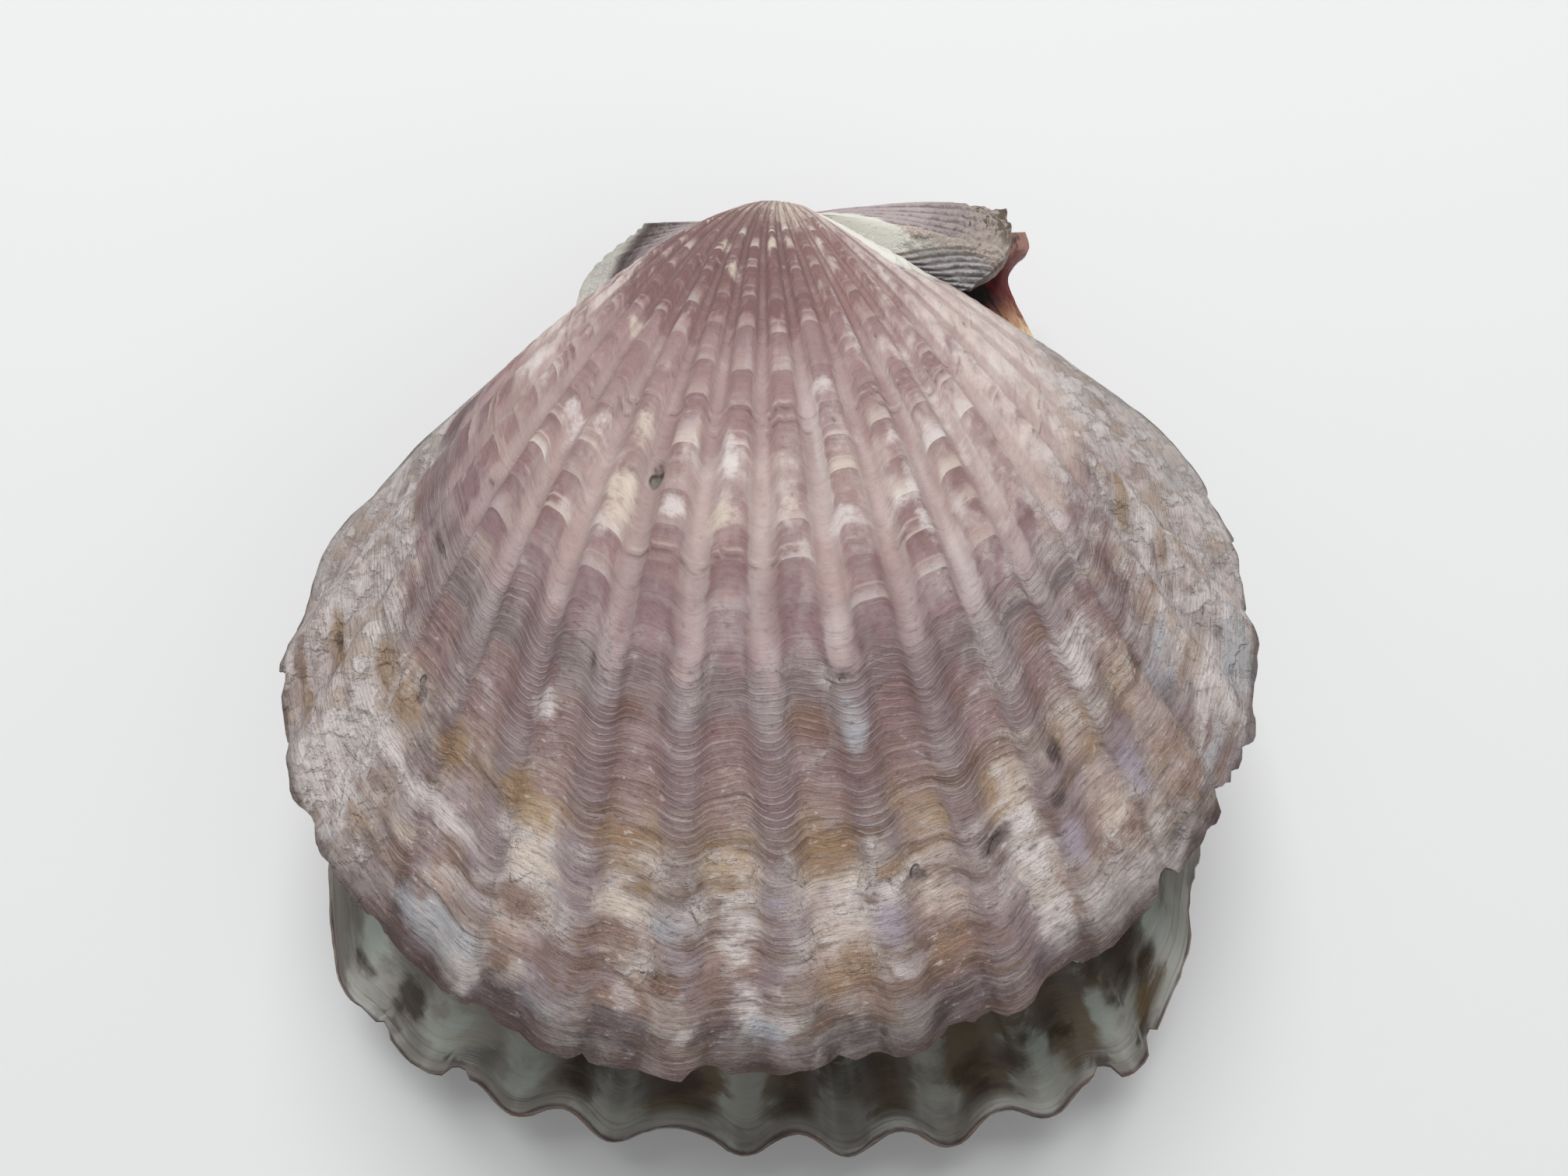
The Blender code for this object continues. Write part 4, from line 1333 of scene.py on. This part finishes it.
    def margin(self, at: Fields) -> list[Coat]:
        """The dark front margin."""
        rim = at.ragged * 0.03 + at.growth
        front = at.flank.span(34.0, 12.0, 0.05, 0.55) * at.on_rib.span(0.0, 1.0, 0.45, 1.0)
        return [
            (rim.span(0.948, 0.972) * front, self.dusk),
            (rim.span(0.975, 0.990, 0.0, 0.7) * at.on_disc, self.umber),
        ]

    def scarring(self, bench: Bench, shared: SharedEffects, at: Fields) -> Iterator[Coat]:
        """The single scars and holes, each with a painted shadow along the beak side of its edge."""
        for scar in self.scars:
            sizes = dict(zip(("At_Fan", "At_Growth", "Half_Fan", "Half_Growth"), scar))
            spot = bench.group(shared.spot, Fan=at.fan, Growth=at.growth, **sizes)
            yield spot["Mask"] * scar[4], self.scarred
            # Painted shadow on the beak side of each hole's edge.
            yield spot["Shadow"] * 0.9, self.umber

    def ears(self, bench: Bench, at: Fields) -> list[Coat]:
        """The ears' own colours over the disc's."""
        crust = at.ragged * 0.8 + at.stage
        # Painted shade in the gaps between the ear's cords.
        riblets = bench.mix((at.ragged * 3.0 + bench.value("cords")).span(-0.7, 0.3), self.cord_gap, self.mauve)
        riblet_coats = (
            (at.streaks * 0.5, self.ash),
            (at.stage.span(0.36, 0.12, 0.0, 0.6), self.rust),
            (crust.span(0.74, 0.92, 0.0, 0.6), self.cream),
            (crust.span(0.90, 0.97) * at.angle.span(76.0, 82.0) * 0.85, self.olive),
        )
        notch, ridge = bench.value("notch"), bench.value("ridge")
        arc = bench.noise(bench.vector(notch * 8.0, at.stage * 3.0), 1.0, 3.0, 0.7)
        swell = bench.math("COSINE", notch * (math.tau * UpperValve.arc_count))
        arc_coats = (
            # Painted shadow in the troughs between the fasciole's arcs.
            (swell.span(-0.1, -1.0, 0.0, 0.55) * notch.span(0.15, 0.55, 0.35, 1.0), self.arc_line),
            (notch.span(0.40, 0.05, 0.0, 0.8) * at.angle.span(64.0, 50.0, 0.2, 1.0), self.straw),
        )
        arcs = bench.mix(arc.span(0.52, 0.66, 0.0, 0.6), self.nacre, self.arc_line)
        chalk = bench.mix(at.flakes.span(0.34, 0.56), self.mauve, self.cream)
        return [
            (bench.value("riblets"), bench.coat(riblets, riblet_coats)),
            (bench.value("fasciole"), bench.coat(arcs, arc_coats)),
            (bench.value("porcelain"), self.porcelain),
            ((at.ragged * 1.8 + ridge).span(0.2, 0.8) * ridge.span(0.0, 0.3), chalk),
            (bench.value("bleached"), bench.mix(at.lines.span(0.45, 0.6, 0.0, 0.35), self.eggshell, self.ash)),
            (bench.value("band") * 0.75, self.dusk),
        ]


@dataclass(frozen=True)
class InnerFinish:
    """The porcelain inside of a valve, dark between its flutes towards the margin with brown stain and painted
    shadow.
    """

    name: str
    porcelain: Colour = tone(206, 204, 196)
    shade: Colour = tone(130, 128, 121)
    flute: Colour = tone(172, 171, 163)
    # Brown stain and painted shadow between the flutes.
    stain_and_shadow: Colour = tone(60, 47, 38)
    umber: Colour = tone(52, 38, 26)
    ochre: Colour = tone(98, 80, 48)
    white: Colour = tone(168, 174, 166)
    lip: Colour = tone(128, 120, 113)
    rim: Colour = tone(66, 50, 54)
    # Painted deep shadow inside the hollow below the notch.
    burnt: Colour = tone(9, 5, 6)
    maroon: Colour = tone(104, 24, 22)
    amber: Colour = tone(176, 128, 84)
    buff: Colour = tone(214, 190, 152)
    knob: Colour = tone(140, 92, 76)

    def build(self, shared: SharedEffects) -> bpy.types.Material:
        """Make the material."""
        bench = MaterialBench(self.name)
        stage, fan, angle = (bench.value(name) for name in ("stage", "fan", "angle"))
        moved = bench.group(shared.wander, Fan=fan, Growth=stage, Aside=1.1, Ahead=0.03)
        clouds, smears = (
            bench.group(shared.patches, Fan=moved["Fan"], Growth=moved["Growth"], **pattern)[0]
            for pattern in (
                {"Across": 0.8, "Along": 14.0, "Seed": 5.0, "Low": 0.38, "High": 0.62},
                {"Across": 1.3, "Along": 24.0, "Seed": 6.0, "Low": 0.42, "High": 0.60},
            )
        )
        ragged = moved["Ragged"]
        lines = bench.group(shared.lines, Fan=fan, Growth=stage, Lines=170.0, Wander=2.0)["Height"]
        edge = stage + ragged * 0.01
        # Dark between the flutes towards the margin: brown stain and painted shadow of the upper valve, weaker on the
        # posterior side.
        ridge = (smears - 0.5) * -0.8 + (ragged * 1.6 + bench.value("rib")) + stage.span(0.90, 0.965, -0.7, 0.2)
        depth = ridge.span(0.95, -0.35) * moved["Growth"].span(0.80, 0.88)
        depth = depth * (clouds * 4.0 + angle).span(-17.0, -9.0, 0.45, 1.0) * edge.span(0.990, 0.972)
        coats = (
            (stage.span(0.62, 0.82), bench.mix(clouds, self.shade, self.flute)),
            (depth * 0.88, bench.mix(clouds * 0.8, self.stain_and_shadow, self.ochre)),
            *self.stains(bench, ragged),
            (edge.span(0.980, 0.988, 0.0, 0.6), bench.mix(clouds.span(0.2, 0.9), self.lip, self.flute)),
            (lines.span(0.5, 0.66) * edge.span(0.95, 0.985, 0.05, 0.5), self.rim),
            (edge.span(0.991, 0.995, 0.0, 0.85), self.rim),
            (bench.value("burnt"), self.hollow(bench, ragged * 0.35 + stage, ragged * 12.0 + angle)),
        )
        bench.emboss(lines, 0.5, 0.25)
        colour = bench.coat(bench.mix(clouds * 0.3, self.porcelain, self.shade), coats)
        return bench.dress(colour, clouds.span(0.0, 1.0, 0.34, 0.5))

    def stains(self, bench: Bench, ragged: Signal) -> Iterator[Coat]:
        """The single patches of this valve, with ragged edges."""
        for tint in (Tint.WHITE, Tint.OCHRE, Tint.UMBER):
            mask = bench.value(tint.value)
            cover = (ragged * 2.4 + mask).span(0.15, 0.85) * mask.span(0.0, 0.4)
            yield cover * 0.85, getattr(self, tint.value)

    def hollow(self, bench: Bench, glow: Signal, side: Signal) -> Signal:
        """The hollow below the notch, painted black as deep shadow, turning maroon, amber and buff at its free edge.
        """
        low = side.span(74.0, 66.0)
        coats = (
            (low * glow.span(0.86, 0.93), self.amber),
            (low * glow.span(0.93, 0.985), self.buff),
            (side.span(84.0, 87.0) * glow.span(0.90, 0.96) * 0.8, self.knob),
        )
        reddened = glow.span(0.86, 0.95) * side.span(88.0, 78.0, 0.3, 1.0)
        return bench.coat(bench.mix(reddened, self.burnt, self.maroon), coats)


@dataclass(frozen=True)
class EdgeFinish:
    """The broken, layered edge of the wall."""

    name: str
    pale: Colour = tone(150, 142, 134)
    dark: Colour = tone(92, 74, 68)
    amber: Colour = tone(128, 96, 68)

    def build(self, shared: SharedEffects) -> bpy.types.Material:
        """Make the material."""
        bench = MaterialBench(self.name)
        layers = bench.noise(bench.vector(bench.value("fan") * 0.8, bench.value("across") * 9.0))
        patches = bench.group(shared.mottle, Scale=120.0, Low=0.45, High=0.62)[0]
        colour = bench.mix(layers.span(0.42, 0.6), self.dark, self.pale).blend(patches * 0.6, self.amber)
        bench.emboss(layers, 0.8, 0.3)
        return bench.dress(colour, layers.span(0.0, 1.0, 0.45, 0.7), PLAIN_SPECULAR)


@dataclass(frozen=True)
class HornFinish:
    """The dried, layered ligament."""

    name: str
    deep: Colour = (0.030, 0.016, 0.010)
    warm: Colour = (0.095, 0.050, 0.026)

    def build(self, shared: SharedEffects) -> bpy.types.Material:
        """Make the material."""
        bench = MaterialBench(self.name)
        stretched = bench.add("ShaderNodeMapping", None, Vector=bench.place(), Scale=(0.15, 1.0, 2.2))[0]
        fibres = bench.noise(stretched, 900.0, 5.0, 0.7)
        clouds = bench.group(shared.mottle, Scale=200.0, Low=0.4, High=0.6)[0]
        colour = bench.mix(fibres.span(0.35, 0.65), self.deep, self.warm).blend(clouds * 0.5, self.deep)
        bench.emboss(fibres, 0.7, 0.2)
        return bench.dress(colour, fibres.span(0.3, 0.7, 0.4, 0.65), PLAIN_SPECULAR)


@dataclass
class Ligament:
    """The strip along the hinge line and the cushion below the beaks, in the frame of the hinge."""

    piece: str = "hinge_ligament_horn"
    start: float = -20.9 * MM
    end: float = 39.9 * MM
    depth: float = 1.55 * MM
    cushion_start: float = 0.9 * MM
    cushion_end: float = 4.5 * MM
    back_half_width: float = 2.6 * MM
    front_half_width: float = 4.1 * MM
    top: float = 0.19 * MM

    def build(self, finish: bpy.types.Material) -> bpy.types.Object:
        """Build both parts, dress them, join them and lay them in the hinge.

        Args:
            finish: The material of the ligament.

        Returns:
            The finished object.
        """
        strip = self.bar(160, self.strip_place)
        cushion = self.bar(40, self.cushion_place)
        bpy.ops.object.select_all(action="DESELECT")
        for obj in (cushion, strip):
            obj.select_set(True)
        bpy.context.view_layer.objects.active = strip
        bpy.ops.object.join()
        strip.name = strip.data.name = self.piece
        strip.data.materials.append(finish)
        strip.data.transform(HINGE_FRAME)
        face_outwards()
        return strip

    @staticmethod
    def bar(rings: int, place: Callable[[Array, Array, Array], Array]) -> bpy.types.Object:
        """A closed bar with a squarish section.

        Args:
            rings: Number of rings of points along it.
            place: Gives the points from how far along they are, from 0 to 1, and how far aside and up, from -1 to 1.

        Returns:
            The bar.
        """
        bpy.ops.object.select_all(action="DESELECT")
        bpy.ops.mesh.primitive_uv_sphere_add(segments=48, ring_count=rings, radius=1.0)
        obj = bpy.context.object
        x, y, z = read(obj.data.vertices, "co", np.float32, 3).astype(float).T
        along = np.arccos(np.clip(z, -1.0, 1.0)) / math.pi
        blunt = (1.0 - np.abs(2.0 * along - 1.0) ** 12) ** 0.25
        ridged = blunt * (1.0 - 0.06 * np.abs(uneven(Seed.LIGAMENT, along * rings, np.arctan2(y, x))))
        aside, up = (np.sign(side) * np.abs(side) ** 0.5 * ridged for side in (x, y))
        obj.data.vertices.foreach_set("co", place(along, aside, up).astype(np.float32).ravel())
        return obj

    def between(self, behind: Array, up: Array) -> Array:
        """Height between the level upper face and the lower face that follows the gape."""
        bottom = -self.top - behind * math.tan(GAPE)
        return bottom + (self.top - bottom) * (0.5 + 0.5 * up)

    def strip_place(self, along: Array, aside: Array, up: Array) -> Array:
        """Points of the strip along the hinge line."""
        behind = self.depth * (0.5 + 0.5 * aside)
        return np.stack((self.start + (self.end - self.start) * along, -behind, self.between(behind, up)), axis=-1)

    def cushion_place(self, along: Array, aside: Array, up: Array) -> Array:
        """Points of the cushion."""
        behind = self.cushion_start + (self.cushion_end - self.cushion_start) * along
        width = self.back_half_width + (self.front_half_width - self.back_half_width) * along
        return np.stack((width * aside, -behind, self.between(behind, up)), axis=-1)


@dataclass
class Studio:
    """A pale floor, soft light and the camera."""

    floor_size: float = 6.0
    lens: float = 36.0
    sensor: float = 36.0
    eye: tuple[float, float, float] = (2.87 * MM, -202.37 * MM, 210.08 * MM)
    elevation: float = math.radians(58.87)
    roll: float = -0.0079
    clip_start: float = 0.01
    floor_drop: float = 0.0002
    papers: tuple[Colour, Colour] = ((0.74, 0.745, 0.74), (0.77, 0.77, 0.765))
    paper_roughness: float = 0.9
    sky: Colour = (0.95, 0.97, 1.0)
    sky_light: float = 0.34
    sky_shine: float = 0.5
    # Name, place, size and power of each lamp.
    lamps: tuple[tuple[str, tuple[float, float, float], float, float], ...] = (
        ("key_light", (-0.05, 0.55, 1.2), 0.7, 14.6),
        ("fill_light", (0.7, -0.7, 0.9), 1.2, 2.0),
    )

    def build(self) -> None:
        """Make everything round the shell."""
        self.lay_floor()
        self.light()
        self.aim_camera()

    def lay_floor(self) -> None:
        """A plain pale floor under the shell."""
        bpy.ops.object.select_all(action="DESELECT")
        bpy.ops.mesh.primitive_plane_add(size=self.floor_size, location=(0.0, 0.0, -self.floor_drop))
        floor = bpy.context.object
        floor.name = "floor"
        bench = MaterialBench("floor_paper")
        paper = bench.mix(bench.noise(bench.place(), 3.0), *self.papers)
        floor.data.materials.append(bench.dress(paper, self.paper_roughness, PLAIN_SPECULAR))

    def light(self) -> None:
        """A large soft lamp from behind the hinge, a broad fill, and a pale world."""
        for lamp in self.lamps:
            self.hang(*lamp)
        world = bpy.data.worlds.new("studio_world")
        bpy.context.scene.world = world
        world.use_nodes = True
        bench = Bench(world.node_tree)
        background = world.node_tree.nodes["Background"]
        rays = bench.add("ShaderNodeLightPath")
        seen = bench.math("MAXIMUM", rays["Is Camera Ray"], rays["Is Glossy Ray"])
        seen = bench.math("MAXIMUM", seen, rays["Is Transmission Ray"])
        bench.set(background.inputs["Color"], self.sky)
        bench.set(background.inputs["Strength"], seen * self.sky_shine + self.sky_light)

    @staticmethod
    def hang(name: str, place: tuple[float, float, float], size: float, power: float) -> None:
        """One square lamp that faces the shell."""
        data = bpy.data.lights.new(name, "AREA")
        data.energy, data.size = power, size
        lamp = bpy.data.objects.new(name, data)
        lamp.location = place
        lamp.rotation_euler = (-Vector(place)).to_track_quat("-Z", "Y").to_euler()
        bpy.context.scene.collection.objects.link(lamp)

    def aim_camera(self) -> None:
        """The camera, placed in the frame of the hinge and turned with it into the scene."""
        data = bpy.data.cameras.new("camera")
        data.lens, data.sensor_width = self.lens, self.sensor
        data.clip_start = self.clip_start
        camera = bpy.data.objects.new("camera", data)
        bpy.context.scene.collection.objects.link(camera)
        tilt = Matrix.Rotation(math.pi / 2.0 - self.elevation, 4, "X")
        own = Matrix.Translation(self.eye) @ tilt @ Matrix.Rotation(self.roll, 4, "Z")
        camera.matrix_world = HINGE_FRAME @ own
        bpy.context.scene.camera = camera


# Soft patches by tint: angle, stage, half their reach in each, and strength.
UPPER_BLOTCHES: Blotches = {
    Tint.CREAM: (
        (14.0, 0.13, 10.0, 0.05, 0.55), (13.0, 0.1, 18.0, 0.08, 0.8), (-7.0, 0.105, 2.4, 0.016, 0.65),
        (0.5, 0.12, 2.2, 0.014, 0.65), (8.5, 0.125, 2.4, 0.016, 0.7), (14.5, 0.175, 2.4, 0.014, 0.65),
        (-24.4, 0.356, 2.0, 0.012, 0.85), (-14.9, 0.47, 1.8, 0.03, 0.6), (-14.9, 0.545, 1.8, 0.033, 0.85),
        (-4.1, 0.542, 1.9, 0.014, 0.7), (2.9, 0.533, 1.6, 0.01, 0.6), (3.0, 0.215, 2.2, 0.012, 0.8),
        (9.4, 0.215, 2.2, 0.012, 0.8), (-13.0, 0.212, 2.6, 0.01, 0.8), (-8.0, 0.258, 1.8, 0.014, 0.7),
        (19.6, 0.215, 2.0, 0.01, 0.75), (-15.0, 0.862, 2.2, 0.014, 0.75), (-9.4, 0.87, 2.0, 0.012, 0.75),
        (2.8, 0.85, 2.0, 0.01, 0.65), (9.0, 0.885, 2.0, 0.02, 0.6), (21.2, 0.9, 1.6, 0.016, 0.7),
        (-24.5, 0.905, 1.8, 0.016, 0.6),
    ),
    Tint.WHITE: (
        (16.3, 0.36, 1.0, 0.1, 0.4), (16.2, 0.54, 1.2, 0.1, 0.5), (24.0, 0.45, 1.2, 0.14, 0.45),
        (-25.4, 0.486, 1.9, 0.02, 0.8), (-20.2, 0.485, 1.6, 0.014, 0.6), (-3.7, 0.488, 0.9, 0.024, 0.85),
        (-9.2, 0.538, 1.8, 0.014, 0.7), (8.0, 0.548, 1.8, 0.012, 0.7), (13.7, 0.55, 1.8, 0.012, 0.6),
        (8.4, 0.412, 2.0, 0.012, 0.6), (-16.8, 0.742, 1.4, 0.016, 0.7), (24.6, 0.76, 2.2, 0.03, 0.85),
        (-29.0, 0.866, 3.4, 0.018, 0.9), (-22.5, 0.872, 4.0, 0.014, 0.8), (-30.6, 0.935, 2.6, 0.03, 0.85),
        (-33.0, 0.8, 2.0, 0.04, 0.6), (15.0, 0.87, 1.5, 0.04, 0.7), (15.2, 0.945, 1.5, 0.03, 0.7),
        (-2.8, 0.88, 1.3, 0.03, 0.75), (-2.4, 0.94, 1.2, 0.02, 0.55), (5.9, 0.868, 1.0, 0.014, 0.8),
        (34.0, 0.92, 3.6, 0.04, 0.8), (38.0, 0.8, 3.6, 0.06, 0.6),
    ),
    Tint.OCHRE: (
        (-27.4, 0.826, 1.6, 0.022, 0.9), (-22.8, 0.816, 1.6, 0.02, 0.85), (-17.2, 0.812, 1.8, 0.02, 0.8),
        (-10.0, 0.816, 1.9, 0.014, 0.9), (-9.6, 0.838, 1.5, 0.008, 0.8), (2.8, 0.83, 1.8, 0.02, 0.9),
        (6.8, 0.842, 1.2, 0.01, 0.8), (-36.6, 0.885, 2.4, 0.016, 0.85), (-31.0, 0.815, 1.6, 0.022, 0.85),
        (-36.0, 0.95, 2.0, 0.014, 0.75), (38.8, 0.735, 2.4, 0.02, 0.8), (38.8, 0.812, 2.0, 0.016, 0.8),
        (33.0, 0.885, 2.0, 0.022, 0.7), (-27.0, 0.94, 1.8, 0.014, 0.6), (2.8, 0.918, 2.0, 0.028, 0.65),
        (9.0, 0.925, 2.0, 0.02, 0.55), (21.4, 0.845, 1.6, 0.016, 0.7), (27.4, 0.9, 1.8, 0.024, 0.6),
    ),
    Tint.LILAC: (
        (5.9, 0.885, 0.9, 0.022, 0.9), (18.2, 0.888, 0.9, 0.028, 0.9), (24.4, 0.882, 0.9, 0.03, 0.8),
        (-1.0, 0.855, 1.4, 0.014, 0.6),
    ),
    Tint.BLUE: (
        (37.0, 0.96, 3.0, 0.05, 0.7), (31.0, 0.845, 2.4, 0.03, 0.6), (-20.2, 0.95, 3.2, 0.02, 0.8),
        (-13.0, 0.958, 1.6, 0.012, 0.6), (-6.8, 0.874, 1.1, 0.012, 0.75), (-1.4, 0.955, 1.4, 0.012, 0.7),
        (5.9, 0.722, 1.0, 0.024, 0.85), (31.0, 0.955, 1.8, 0.014, 0.7),
    ),
    Tint.SLATE: (
        (-28.0, 0.708, 2.4, 0.016, 0.8), (-21.4, 0.706, 2.0, 0.016, 0.75), (-15.4, 0.7, 1.6, 0.014, 0.6),
        (21.0, 0.696, 1.6, 0.01, 0.85), (27.0, 0.7, 1.8, 0.014, 0.8), (30.0, 0.87, 1.6, 0.03, 0.5),
        (-9.8, 0.955, 2.2, 0.012, 0.8), (-21.0, 0.984, 9.0, 0.01, 0.5),
    ),
    Tint.RUSSET: (
        (27.5, 0.945, 1.6, 0.016, 0.7), (31.0, 0.965, 2.2, 0.012, 0.7), (-38.6, 0.955, 2.0, 0.012, 0.7),
        (-9.8, 0.712, 1.6, 0.016, 0.65), (2.9, 0.722, 1.6, 0.02, 0.8), (21.8, 0.722, 1.8, 0.016, 0.75),
        (-15.5, 0.897, 1.8, 0.016, 0.75), (-10.1, 0.897, 1.8, 0.018, 0.85), (-6.8, 0.918, 0.9, 0.008, 0.85),
        (-15.8, 0.95, 1.8, 0.01, 0.6), (3.0, 0.8, 1.6, 0.008, 0.5), (-27.0, 0.9, 1.0, 0.02, 0.6),
    ),
    Tint.UMBER: (
        (13.4, 0.856, 1.2, 0.007, 0.9), (19.3, 0.824, 0.5, 0.018, 0.95), (18.3, 0.852, 0.7, 0.008, 0.9),
        (-6.8, 0.852, 1.4, 0.004, 0.7),
    ),
}
# Scars: place in ribs and in growth, half their size in each, and strength.
UPPER_SCARS: Rows = (
    (-1.925, 0.506, 0.125, 0.0095, 0.85), (-4.4, 0.801, 0.04, 0.007, 0.6), (1.3, 0.858, 0.05, 0.005, 0.5),
    (2.18, 0.857, 0.08, 0.004, 0.6), (0.96, 0.683, 0.05, 0.003, 0.4), (-5.18, 0.697, 0.08, 0.0022, 0.6),
)
# Pits: angle, stage, half their size in each, depth in millimetres, and lean.
UPPER_PITS: Rows = (
    (-11.8, 0.5, 0.8, 0.013, 0.9, 0.3), (34.0, 0.292, 0.7, 0.006, 1.2), (8.9, 0.45, 0.35, 0.003, 0.5),
    (20.2, 0.367, 0.35, 0.003, 0.5), (-31.2, 0.605, 0.45, 0.004, 0.4), (-32.4, 0.697, 1.0, 0.008, 0.9, 0.5),
    (-26.7, 0.803, 0.6, 0.009, 0.9), (-37.2, 0.889, 0.8, 0.01, 0.7), (5.9, 0.683, 0.7, 0.005, 0.8),
    (13.2, 0.856, 1.3, 0.006, 0.5), (7.9, 0.856, 0.7, 0.006, 0.6), (19.3, 0.822, 0.7, 0.01, 0.6),
    (-13.6, 0.683, 0.4, 0.008, 0.4),
)
# Nicks of the margin: angle, half their width, and depth as a share of growth.
UPPER_NICKS: Rows = (
    (-31.0, 0.8, 0.006), (-24.0, 0.5, 0.005), (-18.3, 0.3, 0.006), (-16.4, 1.0, 0.006), (-10.8, 0.4, 0.006),
    (-4.6, 0.9, 0.008), (2.1, 0.4, 0.005), (8.3, 0.8, 0.007), (10.0, 0.8, 0.006), (14.4, 1.3, 0.008),
    (22.6, 1.1, 0.012), (29.0, 0.6, 0.006),
)
LOWER_NICKS: Rows = ((-20.7, 0.5, 0.01), (-26.0, 0.4, 0.006), (18.9, 0.7, 0.012), (22.6, 0.5, 0.01))
LOWER_BLOTCHES: Blotches = {
    Tint.WHITE: (
        (-29.0, 0.94, 1.8, 0.02, 0.7), (-22.0, 0.95, 1.4, 0.03, 0.6), (-17.0, 0.96, 1.6, 0.03, 0.6),
        (15.8, 0.95, 0.9, 0.03, 0.8), (20.6, 0.945, 0.9, 0.03, 0.8), (27.0, 0.94, 1.4, 0.03, 0.8),
    ),
    Tint.OCHRE: ((23.2, 0.968, 1.0, 0.012, 0.8), (10.5, 0.945, 1.2, 0.012, 0.7)),
    # Umber patches at the four margin nicks, at strength 1.0, are painted shadow in the gaps of the lip; the others
    # are brown stains.
    Tint.UMBER: (
        (-25.4, 0.955, 1.2, 0.02, 0.8), (-29.0, 0.97, 1.2, 0.008, 0.6), (-13.6, 0.955, 1.4, 0.02, 0.8),
        (-20.7, 0.984, 0.9, 0.005, 1.0), (-26.0, 0.988, 0.9, 0.005, 1.0), (18.8, 0.978, 1.1, 0.006, 1.0),
        (22.6, 0.982, 0.9, 0.006, 1.0), (13.7, 0.948, 1.6, 0.014, 0.85), (11.2, 0.951, 1.4, 0.014, 0.7),
        (17.6, 0.938, 0.7, 0.008, 0.9), (22.6, 0.933, 1.3, 0.014, 0.8), (25.0, 0.95, 1.0, 0.01, 0.7),
    ),
}


@dataclass
class ScallopPair:
    """The whole shell: two valves and the ligament between their hinge plates."""

    effects: SharedEffects

    def upper(self) -> Valve:
        """The valve on top, seen from outside."""
        law = GrowthLaw(UPPER_OUTLINE, 0.002, 2.6 * MM, 7.2 * MM)
        names = ("upper_shell_valve", "upper_valve", "upper_shell")
        return UpperValve(*names, law, blotches=UPPER_BLOTCHES, pits=UPPER_PITS, nicks=UPPER_NICKS)

    def lower(self) -> Valve:
        """The valve that the shell lies on, seen from inside."""
        law = GrowthLaw(LOWER_OUTLINE, 0.0085, 2.7 * MM, 1.2 * MM, rib_shift=1.7, flank_share=0.4)
        return LowerValve(
            "lower_shell_valve",
            "lower_valve",
            "lower_shell",
            law,
            True,
            blotches=LOWER_BLOTCHES,
            nicks=LOWER_NICKS,
            margin_arch=0.0,
            chipping=0.5,
            full_stage=0.9965,
            inset=0.66,
            outer_rows=150,
            inner_rows=98,
            outer_share=0.5,
        )

    def build(self) -> None:
        """Build the pieces in order and report each one."""
        inner = {
            Region.INSIDE: InnerFinish("shell_inside").build(self.effects),
            Region.EDGE: EdgeFinish("shell_edge").build(self.effects),
        }
        skins = (OuterFinish("upper_shell_outside", scars=UPPER_SCARS), OuterFinish("lower_shell_outside"))
        for valve, skin in zip((self.upper(), self.lower()), skins):
            obj = valve.build(inner | {Region.OUTSIDE: skin.build(self.effects)})
            self.hand_over(obj, valve.node, valve.slot)
        horn = HornFinish("ligament_horn_finish").build(self.effects)
        self.hand_over(Ligament().build(horn), "hinge_ligament", "ligament")

    @staticmethod
    def hand_over(obj: bpy.types.Object, node: str, slot: str) -> None:
        """Let a piece stand for its CAD node, and report it."""
        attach(obj, BODY)
        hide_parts(node)
        obj.data.calc_loop_triangles()
        logging.info("%s: %d triangles", obj.name, len(obj.data.loop_triangles))


def main() -> None:
    """Build the shell and the studio."""
    logging.basicConfig(level=logging.INFO, format="%(message)s")
    bpy.context.scene.view_settings.view_transform = "Standard"
    Studio().build()
    ScallopPair(SharedEffects()).build()


if __name__ == "__main__":
    main()
